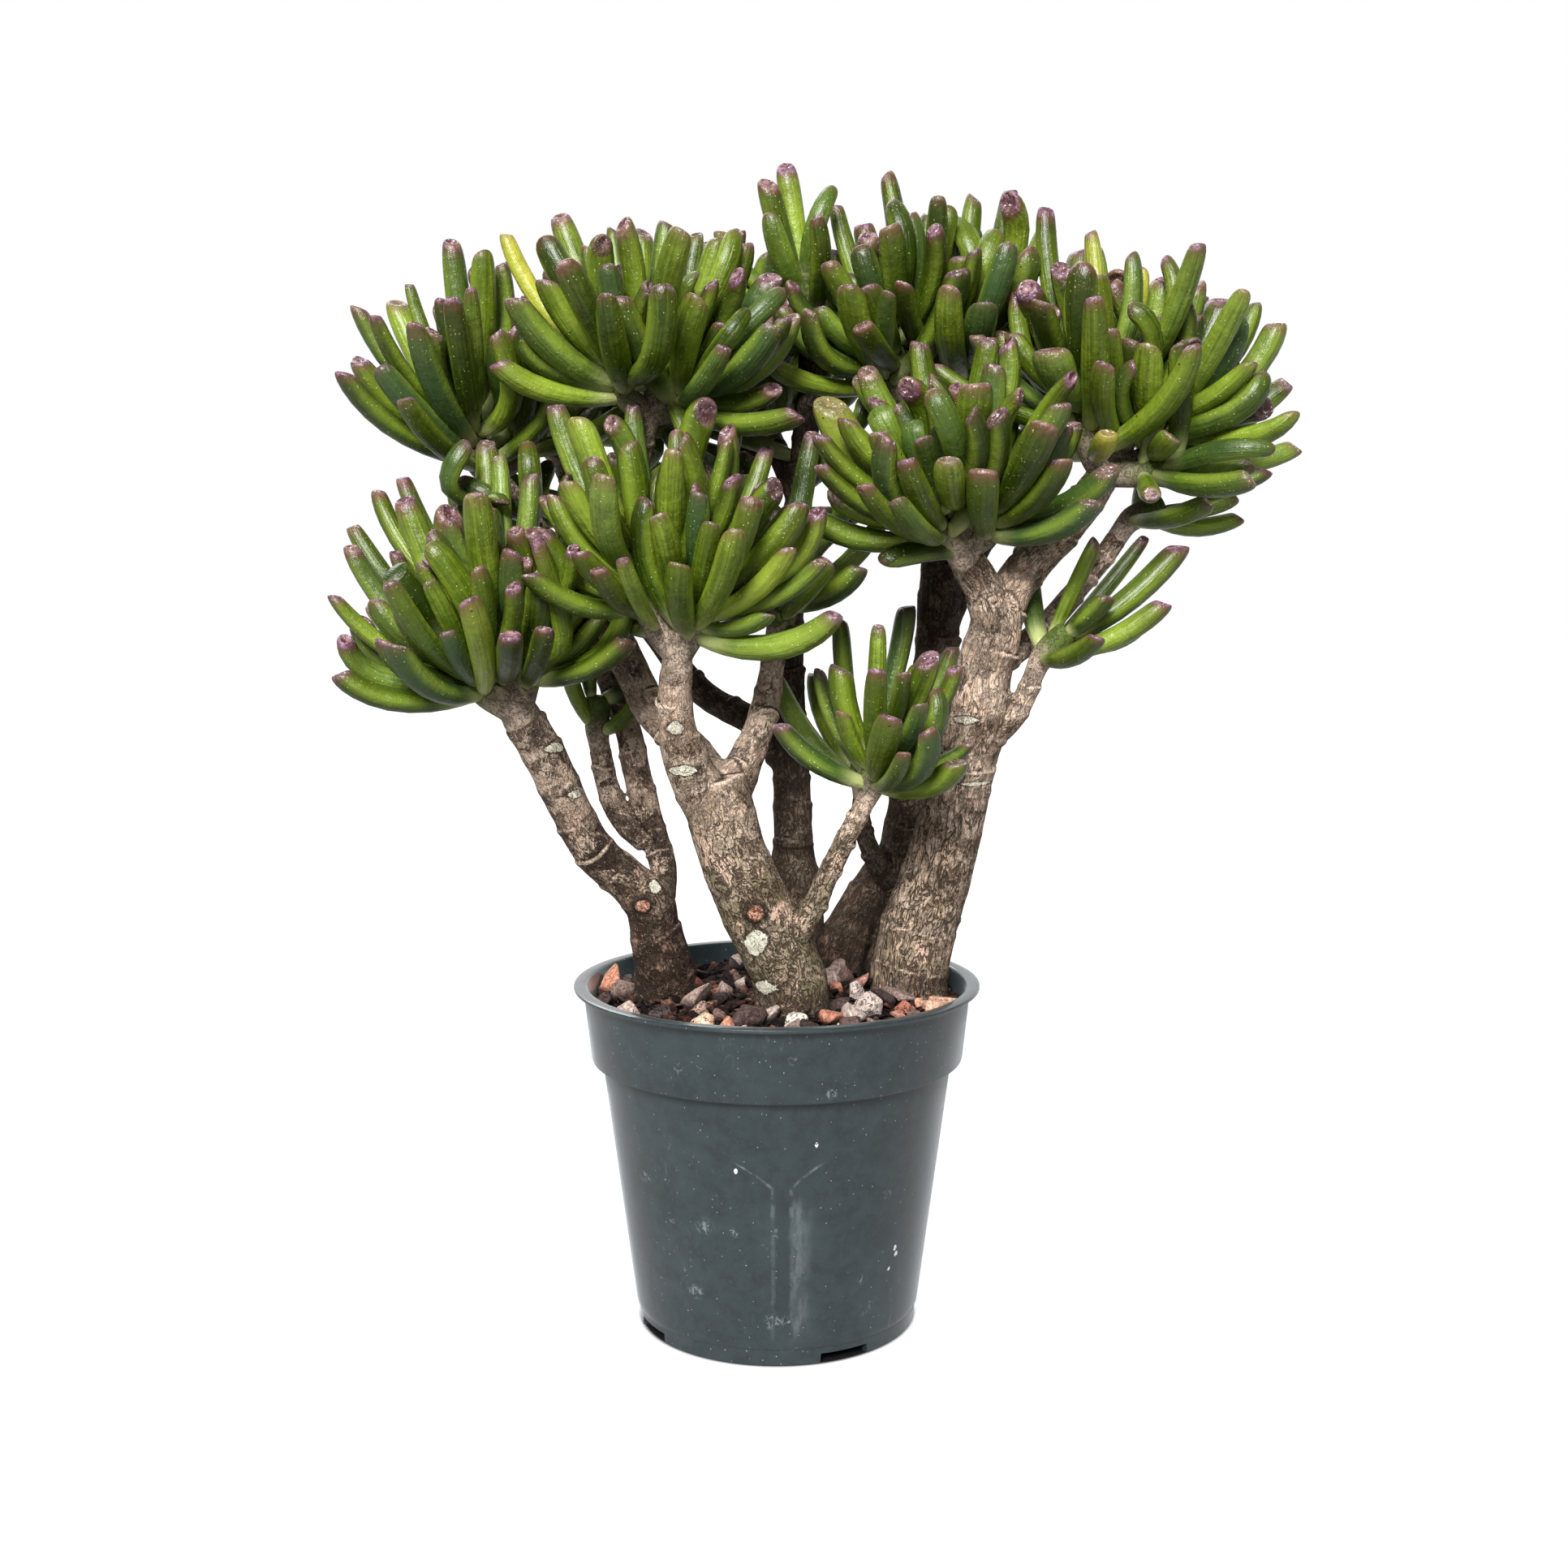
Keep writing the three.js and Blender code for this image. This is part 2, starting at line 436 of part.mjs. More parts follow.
function makeStone([x, y, length, width, height, turn], serial) {
  const random = seededRandom(31 + serial);
  const rock = mergeVertices(stripped(new THREE.IcosahedronGeometry(1, 0)), 1e-4);
  const points = rock.attributes.position;
  for (let i = 0; i < points.count; i += 1) {
    const swell = 0.82 + 0.3 * random();
    points.setXYZ(i, points.getX(i) * swell, points.getY(i) * swell, points.getZ(i) * swell);
  }
  rock.scale(length / 2, width / 2, height / 1.6);
  rock.rotateZ(THREE.MathUtils.degToRad(turn)).translate(x, y, soilHeight(x, y) + height * 0.25);
  return solid(rock).subtract(bedSolid());
}

// Everything up to just over the soil's surface: a stone is cut to it, so that it lies on the soil.
function bedSolid() {
  return solid(turned([
    [0, COLLAR_BOTTOM], [RIM_RADIUS, COLLAR_BOTTOM], [RIM_RADIUS, SOIL_EDGE + GAP],
    [SOIL_SHOULDER_RADIUS, SOIL_EDGE + GAP], [SOIL_FLAT_RADIUS, SOIL_MIDDLE + GAP], [0, SOIL_MIDDLE + GAP],
  ], POT_SIDES));
}

function stripped(geometry) {
  geometry.deleteAttribute('normal');
  geometry.deleteAttribute('uv');
  return geometry;
}

function highestSoil(x, y, reach) {
  const radius = Math.max(0, Math.hypot(x, y) - reach);
  return soilHeight(radius, 0);
}

// ---- stems --------------------------------------------------------------------------------

// A round, tapering body along a smooth curve through rows of [x, y, z, radius].
function limbSolid(rows, sides, step) {
  const curve = new THREE.CatmullRomCurve3(rows.map(([x, y, z]) => new THREE.Vector3(x, y, z)));
  const steps = Math.max(2, Math.round(curve.getLength() / step));
  const frames = curve.computeFrenetFrames(steps, false);
  const profile = [[0, 0]];
  for (let i = 0; i <= steps; i += 1) profile.push([1, i]);
  profile.push([0, steps]);
  const tube = turned(profile, sides);
  const points = tube.attributes.position;
  for (let i = 0; i < points.count; i += 1) {
    const k = Math.round(points.getZ(i));
    const along = curve.getUtoTmapping(k / steps) * (rows.length - 1);
    const low = Math.min(Math.floor(along), rows.length - 2);
    const radius = THREE.MathUtils.lerp(rows[low][3], rows[low + 1][3], along - low);
    const place = curve.getPointAt(k / steps)
      .addScaledVector(frames.normals[k], points.getX(i) * radius)
      .addScaledVector(frames.binormals[k], points.getY(i) * radius);
    points.setXYZ(i, place.x, place.y, place.z);
  }
  return solid(tube);
}

function makeStem({ stub: [x, y, radius], limbs }) {
  const ground = soilHeight(x, y);
  const [footX, footY, , footRadius] = limbs[0][0];
  const footHeight = highestSoil(x, y, footRadius) + GAP;
  const upright = [0, FOOT_RISE].map((rise) => [footX, footY, footHeight + rise, footRadius]);
  const trunk = [...upright, ...limbs[0].slice(1)];
  const root = cylinder(radius, ground - ROOT_DEPTH, ground + STUB_RISE, x, y, STUB_SIDES);
  const parts = [solid(root), limbSolid(trunk, 8, LIMB_STEP)];
  for (const limb of limbs.slice(1)) parts.push(limbSolid(limb, 6, LIMB_STEP));
  return joined(parts);
}

// ---- leaves -------------------------------------------------------------------------------

function vector(row, start = 0) {
  return new THREE.Vector3(row[start], row[start + 1], row[start + 2]);
}

function limbEnd([plant, limb]) {
  const rows = PLANTS[plant].limbs[limb];
  const end = vector(rows[rows.length - 1]);
  const onward = end.clone().sub(vector(rows[rows.length - 2])).normalize();
  return { end, onward };
}

function shootOf(row) {
  const base = vector(row);
  const axis = vector(row, 3).sub(base);
  const reach = axis.length();
  axis.normalize();
  return { base, axis, length: Math.max(14, reach - 0.85 * row[7]), count: row[6], leafLength: row[7] };
}

// The part of a direction that points away from the shoot's axis.
function outwardOf(shoot, direction) {
  return direction.clone().addScaledVector(shoot.axis, -direction.dot(shoot.axis));
}

function placeRoot(leaf) {
  leaf.root = leaf.shoot.base.clone().addScaledVector(leaf.shoot.axis, leaf.height).add(leaf.offset);
}

// Gives every leaf of a shoot its root: the widest leaning leaf at the foot, the most upright on top.
function rootLeaves(shoot, leaves) {
  const lean = ({ tip }) => tip.clone().sub(shoot.base).angleTo(shoot.axis);
  const ranked = [...leaves].sort((a, b) => lean(a) - lean(b));
  ranked.forEach((leaf, rank) => {
    leaf.shoot = shoot;
    leaf.offset = outwardOf(shoot, leaf.tip.clone().sub(shoot.base)).setLength(ROOT_OFFSET);
    leaf.height = shoot.length * (1 - rank / Math.max(1, ranked.length - 1));
    placeRoot(leaf);
    const excess = leaf.tip.distanceTo(leaf.root) - LONGEST_LEAF;
    leaf.height = Math.min(shoot.length, leaf.height + Math.max(0, 1.5 * excess));
    placeRoot(leaf);
    const chord = leaf.tip.clone().sub(leaf.root);
    leaf.length = chord.length();
    const sag = chord.clone().multiplyScalar(chord.z / leaf.length ** 2).sub(Z_AXIS);
    leaf.control = leaf.root.clone().addScaledVector(chord, 0.45)
      .addScaledVector(outwardOf(shoot, chord), LEAF_SPREAD)
      .addScaledVector(sag, LEAF_SAG * leaf.length);
  });
}

function leavesByRule(spray, shoot, random) {
  const axisUp = shoot.axis.clone().cross(X_AXIS).normalize();
  const side = axisUp.clone().cross(shoot.axis).normalize();
  const leaves = [];
  for (let k = 0; k < shoot.count; k += 1) {
    const outer = Math.sqrt((k + 0.5) / shoot.count);
    const lean = THREE.MathUtils.degToRad(6 + 66 * outer + 10 * (random() - 0.5));
    const turn = GOLDEN_TURN * k + 0.5 * (random() - 0.5);
    const length = shoot.leafLength * (0.78 + 0.26 * random());
    const tip = shoot.base.clone().addScaledVector(shoot.axis, shoot.length * (1 - outer))
      .addScaledVector(shoot.axis, length * Math.cos(lean))
      .addScaledVector(side, length * Math.sin(lean) * Math.cos(turn))
      .addScaledVector(axisUp, length * Math.sin(lean) * Math.sin(turn));
    tip.z += 0.12 * length * Math.sin(lean);
    leaves.push({ spray, tip, radius: 4.5 + 1.3 * random(), weight: 1, spare: k % 2 === 0 });
  }
  return leaves;
}

function growLeaves() {
  const grown = [];
  for (const [name, spray] of Object.entries(SPRAYS)) {
    const random = seededRandom(spray.seed);
    spray.shoots.map(shootOf).forEach((shoot, serial) => {
      const named = spray.leaves.filter((row) => row[0] === serial).map(([, x, y, z, radius]) => (
        { spray: name, tip: new THREE.Vector3(x, y, z), radius, weight: NAMED_WEIGHT, spare: false }
      ));
      const leaves = [...named, ...leavesByRule(name, shoot, random)];
      rootLeaves(shoot, leaves);
      grown.push(...leaves);
    });
  }
  return grown;
}

function pointOnLeaf(leaf, t) {
  const back = 1 - t;
  return leaf.root.clone().multiplyScalar(back * back)
    .addScaledVector(leaf.control, 2 * back * t)
    .addScaledVector(leaf.tip, t * t);
}

const SAMPLES = [0.05, 0.15, 0.28, 0.44, 0.62, 0.8, 0.98];

// Balls along every limb, which the leaves keep clear of.
function stemBalls() {
  const balls = [];
  for (const plant of Object.values(PLANTS)) {
    for (const rows of plant.limbs) {
      for (let i = 0; i < rows.length - 1; i += 1) {
        const [from, to] = [vector(rows[i]), vector(rows[i + 1])];
        const count = Math.max(1, Math.ceil(from.distanceTo(to) / 6));
        for (let k = 0; k < count; k += 1) {
          const place = from.clone().lerp(to, (k + 0.5) / count);
          balls.push({ place, radius: THREE.MathUtils.lerp(rows[i][3], rows[i + 1][3], (k + 0.5) / count) });
        }
      }
    }
  }
  return balls.filter(({ place }) => place.z > SOIL_MIDDLE);
}

// Half the width of a leaf at one of its samples: it is narrow at the root.
function girthAt({ leaf, t }) {
  return leaf.radius * Math.min(1.05, 0.45 + 1.2 * t);
}

// Crowded leaves push each other and the stems aside, keeping their roots and lengths.
function settleLeaves(leaves) {
  const posts = stemBalls();
  for (let round = 0; round < SETTLE_ROUNDS; round += 1) {
    const balls = [];
    for (const leaf of leaves) {
      leaf.rootPush = new THREE.Vector3();
      leaf.controlPush = new THREE.Vector3();
      leaf.tipPush = new THREE.Vector3();
      for (const t of SAMPLES) balls.push({ leaf, t, place: pointOnLeaf(leaf, t) });
    }
    const push = new THREE.Vector3();
    const pushLeaf = ({ leaf, t }, amount) => {
      leaf.rootPush.addScaledVector(push, (1 - t) * (1 - t) * amount);
      leaf.controlPush.addScaledVector(push, 2 * t * (1 - t) * amount * leaf.weight);
      leaf.tipPush.addScaledVector(push, t * t * amount * leaf.weight);
    };
    for (let i = 0; i < balls.length; i += 1) {
      for (let j = i + 1; j < balls.length; j += 1) {
        if (balls[i].leaf === balls[j].leaf) continue;
        const clear = balls[i].leaf.spray === balls[j].leaf.spray ? CLEAR_OWN : CLEAR_OTHER;
        const room = girthAt(balls[i]) + girthAt(balls[j]) + clear;
        push.subVectors(balls[i].place, balls[j].place);
        const distance = push.length();
        if (distance >= room || distance < 1e-6) continue;
        push.multiplyScalar((0.3 * (room - distance)) / distance);
        pushLeaf(balls[i], 1);
        pushLeaf(balls[j], -1);
      }
      for (const post of posts) {
        const room = girthAt(balls[i]) + post.radius + CLEAR_STEM;
        push.subVectors(balls[i].place, post.place);
        const distance = push.length();
        if (distance >= room || distance < 1e-6) continue;
        push.multiplyScalar((0.5 * (room - distance)) / (distance * balls[i].leaf.weight));
        pushLeaf(balls[i], 1);
      }
    }
    for (const leaf of leaves) {
      leaf.height += leaf.rootPush.dot(leaf.shoot.axis);
      leaf.height = Math.min(leaf.shoot.length, Math.max(0, leaf.height));
      placeRoot(leaf);
      leaf.control.add(leaf.controlPush);
      leaf.tip.add(leaf.tipPush);
      leaf.tip.sub(leaf.root).setLength(leaf.length).add(leaf.root);
    }
  }
}

// Leaves placed by rule that are still caught deep in another one are taken away again.
function thinLeaves(leaves) {
  const kept = [];
  const place = (leaf) => SAMPLES.slice(3).map((t) => ({ leaf, t, place: pointOnLeaf(leaf, t) }));
  const clashes = (a, b) => girthAt(a) + girthAt(b) - a.place.distanceTo(b.place) > DEEPEST_CROSSING;
  for (const leaf of leaves) {
    const balls = place(leaf);
    const caught = leaf.weight === 1 && kept.some((other) => other.some((b) => balls.some((a) => clashes(a, b))));
    if (!caught) kept.push(balls);
  }
  return kept.map((balls) => balls[0].leaf);
}

// A leaf's outline: [share of its radius, share of its length]. The last ring dips to a shallow cup.
const LEAF_PROFILE = [[0, 0], [0.45, 0.02], [1.18, 0.52], [1.22, 1], [0, 0.96]];

function leafSolid(leaf) {
  const body = turned(LEAF_PROFILE, LEAF_SIDES, LEAF_TURN);
  const chord = leaf.tip.clone().sub(leaf.root);
  const arm = leaf.control.clone().sub(leaf.root);
  const across = arm.clone().cross(chord).normalize();
  const points = body.attributes.position;
  for (let i = 0; i < points.count; i += 1) {
    const t = points.getZ(i);
    const along = arm.clone().multiplyScalar(2 * (1 - 2 * t)).addScaledVector(chord, 2 * t).normalize();
    const inward = across.clone().cross(along).normalize();
    const thick = points.getY(i) * leaf.radius * LEAF_FLATNESS;
    const slant = t > 0.9 ? -TIP_SLANT * thick : 0;
    const place = pointOnLeaf(leaf, t)
      .addScaledVector(across, points.getX(i) * leaf.radius)
      .addScaledVector(inward, thick)
      .addScaledVector(along, slant);
    points.setXYZ(i, place.x, place.y, place.z);
  }
  return solid(body);
}

function shootSolids(spray) {
  const { end, onward } = limbEnd(spray.from);
  const start = end.clone().addScaledVector(onward, GAP);
  const fork = end.clone().addScaledVector(onward, FORK_RISE);
  return spray.shoots.map((row, serial) => {
    const shoot = shootOf(row);
    const top = shoot.base.clone().addScaledVector(shoot.axis, shoot.length + 2);
    const origin = serial === 0 ? [start, fork] : [fork];
    const places = [...origin, shoot.base, top];
    const rows = places.map((p, i) => [p.x, p.y, p.z, i < places.length - 2 ? SHOOT_RADIUS : HEART_RADIUS]);
    return limbSolid(rows, SHOOT_SIDES, SHOOT_STEP);
  });
}

function overlaps(shape, others) {
  return others.some((other) => shape.intersect(other).volume() > 1e-4);
}

// A leaf that would still run through another spray or a stem is left off.
function makeSprays(leaves, stems) {
  const cores = Object.entries(SPRAYS).map(([name, spray]) => ({ name, core: joined(shootSolids(spray)) }));
  const done = [];
  for (const { name, core } of cores) {
    const others = [...stems, ...done.map((spray) => spray.shape),
      ...cores.filter((spray) => spray.name !== name).map((spray) => spray.core)];
    const parts = leaves.filter((leaf) => leaf.spray === name && !leaf.spare).map(leafSolid)
      .filter((shape) => !overlaps(shape, others));
    done.push({ name, shape: joined([core, ...parts]) });
  }
  return done;
}

// ---- assembly -----------------------------------------------------------------------------

const plant = new THREE.Group();
plant.add(toMesh('pot', makePot(), ...COLOURS.pot));
plant.add(toMesh('soil', makeSoil(), ...COLOURS.soil));
STONES.forEach((row, serial) => {
  plant.add(toMesh(`stone_${serial + 1}`, makeStone(row, serial), row[6], STONE_ROUGHNESS));
});

const stems = Object.entries(PLANTS).map(([name, rows]) => ({ name, shape: makeStem(rows) }));
for (const { name, shape } of stems) plant.add(toMesh(name, shape, ...COLOURS.bark));

const crowd = growLeaves();
settleLeaves(crowd);
for (const { name, shape } of makeSprays(thinLeaves(crowd), stems.map((stem) => stem.shape))) {
  plant.add(toMesh(name, shape, ...COLOURS.leaf));
}

export default plant;
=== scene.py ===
"""A trumpet jade in its plastic nursery pot, dressed around its packed solids.

The tables of places are in millimetres, as on the drawing of the solids. Everything that Blender
gets is in metres: +Z up, -Y towards the front, the origin in the middle of the pot's underside.
"""

import json
import math

import bmesh
import bpy
import numpy as np
from mathutils import Matrix, Vector

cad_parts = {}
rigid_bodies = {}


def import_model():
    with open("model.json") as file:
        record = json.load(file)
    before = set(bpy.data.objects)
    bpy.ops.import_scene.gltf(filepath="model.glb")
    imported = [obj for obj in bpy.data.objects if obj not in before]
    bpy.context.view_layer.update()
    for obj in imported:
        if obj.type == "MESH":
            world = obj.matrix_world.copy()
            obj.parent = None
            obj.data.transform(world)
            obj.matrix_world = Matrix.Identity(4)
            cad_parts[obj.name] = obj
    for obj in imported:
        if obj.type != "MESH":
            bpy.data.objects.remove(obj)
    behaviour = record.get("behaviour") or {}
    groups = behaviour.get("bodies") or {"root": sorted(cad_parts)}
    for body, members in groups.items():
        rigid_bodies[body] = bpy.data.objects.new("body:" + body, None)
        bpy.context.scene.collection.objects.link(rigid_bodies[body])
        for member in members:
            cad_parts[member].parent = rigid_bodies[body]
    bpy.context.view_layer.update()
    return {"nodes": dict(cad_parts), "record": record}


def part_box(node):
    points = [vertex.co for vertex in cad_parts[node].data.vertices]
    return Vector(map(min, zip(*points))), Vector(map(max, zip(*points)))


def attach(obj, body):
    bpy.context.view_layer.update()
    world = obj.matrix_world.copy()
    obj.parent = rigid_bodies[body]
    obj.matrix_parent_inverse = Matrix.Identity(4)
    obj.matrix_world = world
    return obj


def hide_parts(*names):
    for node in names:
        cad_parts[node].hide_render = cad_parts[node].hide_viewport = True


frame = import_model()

bl_info = {
    "name": "Trumpet jade in a nursery pot",
    "version": (1, 0, 0),
    "blender": (4, 5, 0),
    "location": "3D View > Sidebar > Jade",
    "description": "Makes a potted trumpet jade piece by piece, with its finishes and its stage",
    "category": "Add Mesh",
}

MM = 0.001

# ---- where everything grows, in millimetres ----


def rows_of(text):
    """The rows of a table: numbers with spaces between them, and a comma after each row."""
    return [[float(word) for word in row.split()] for row in text.split(",") if row.strip()]


def limbs_of(text):
    """The tables of a plant's limbs, with a semicolon between them."""
    return [rows_of(limb) for limb in text.split(";")]


# A plant's limbs, each with rows of x y z radius. The first is its trunk, which stands on the soil.
PLANTS = {
    "left": limbs_of("""
        -47 2 0 13.4, -48 -2 153 12.3, -51 -5 168 10.6, -53 -6 178 10.9, -62 -9 188 9.3,
        -74 -14 200 8.9, -83 -18 217 8.5, -93 -24 241 8.8, -101 -28 256 8.6;
        -49 0 177 6.2, -48 12 188 5.8, -54 18 209 5.8, -60 22 230 6.2, -63 25 245 5.9,
        -74 28 274 5.5, -90 28 312 5.2, -107 25 340 5.2, -115 22 350 5.2;
        -55 15 200 5.6, -66 17 210 5.3, -72 18 224 5.1, -75 18 240 4.8
    """),
    "centre": limbs_of("""
        6 -26 0 15.6, 4 -26 154 15, -8 -27 179 14.9, -18 -28 203 13.9, -23 -28 222 14,
        -25 -28 233 11.5;
        -27 -28 222 11, -35 -32 238 9.6, -39 -36 253 7.7, -40 -38 266 7, -39 -40 277 6.7;
        -23 -20 226 9.6, -35 -10 242 7.9, -50 -2 256 7.7, -60 2 274 7.5, -67 5 289 7.4,
        -69 6 313 6.7, -64 5 339 6.4, -57 3 362 6.1, -54 2 372 5.7;
        -19 -24 226 9.1, -12 -16 240 7.2, -7 -10 252 6.3, -4 -6 263 6, -2 -4 274 5.3, -1 -3 282 5;
        2 -30 162 6.4, 14 -35 180 5.1, 20 -38 194 4.5, 26 -40 207 4.4, 32 -42 219 4.2,
        35 -42 225 4.1
    """),
    "right": limbs_of("""
        56 6 0 16.6, 60 8 164 16.2, 66 8 183 15.2, 72 5 206 14, 77 2 230 13.2, 83 -2 254 12,
        85 -4 274 11.7, 89 -6 290 11.3, 90 -8 300 10;
        89 -8 292 9.3, 84 -12 307 8.2, 79 -16 315 7.5, 76 -18 319 7.2;
        90 -6 292 9.6, 96 -6 308 9, 105 -4 319 8.3, 116 -2 331 8.3, 126 0 343 7.7, 131 1 350 7.4;
        86 -4 246 6.6, 96 -6 254 5.1, 102 -8 265 4.7, 105 -9 273 4.4;
        88 2 276 7.2, 106 14 286 5.5, 119 20 298 5.2, 131 24 312 4.8, 140 26 323 4.8,
        144 26 329 4.8
    """),
    "back": limbs_of("""
        4 34 0 11.2, 7 33 169 9.8, 7 34 198 8.8, 6 38 233 8.1, 5 42 260 7.4, 5 48 288 6.8,
        7 52 323 6.4, 11 54 358 6.1, 14 54 393 5.7, 15 54 412 5.4;
        6 38 230 7.4, -10 46 248 6.4, -32 56 260 6.1, -52 66 283 5.8, -72 72 315 5.5,
        -88 76 344 5.5, -94 78 358 5.5;
        10 53 346 6.2, 4 60 358 5.4, -1 66 370 4.9;
        6 47 280 6.6, -1 60 308 6.1, -8 76 344 5.9, -14 86 374 5.6, -17 89 386 5.6
    """),
    "back_right": limbs_of("""
        42 44 0 10.9, 51 42 176 10.4, 58 42 210 9.9, 65 42 245 9.9, 69 42 274 9.9, 70 42 298 9.7,
        71 42 323 8.8, 69 42 350 8.1, 67 42 371 7.4, 65 42 384 7.1;
        71 43 292 8.4, 84 54 319 6.4, 103 68 344 6.2, 121 77 364 5.9, 129 81 377 5.5;
        51 40 176 6.6, 45 30 186 4.9, 39 24 198 4.3, 36 20 211 4.1, 36 18 220 3.8
    """),
}


def spray(plant, limb, seed, shoots, leaves="", sprouts="", inner=0.55, tint=0.0, marked=None):
    """A spray at the end of a plant's limb.

    Its shoots are rows of base x y z, crown x y z, leaves placed by rule, their length. Its named
    leaves are rows of shoot, tip x y z, radius, and its sprouts, which grow from the wood below it,
    are rows of root x y z, tip x y z, radius. It has so many inner leaves for each outer one, and
    the tint says how much lighter than usual its leaves are, partly their own green and partly
    painted light and shade: several sprays at the back are darker. The marked ones of its named
    leaves stand out: number: (lightness, flush of the tip, yellowing).
    """
    return {
        "plant": plant, "limb": limb, "seed": seed, "shoots": rows_of(shoots),
        "leaves": rows_of(leaves), "sprouts": rows_of(sprouts), "inner": inner, "tint": tint,
        "marked": marked or {},
    }


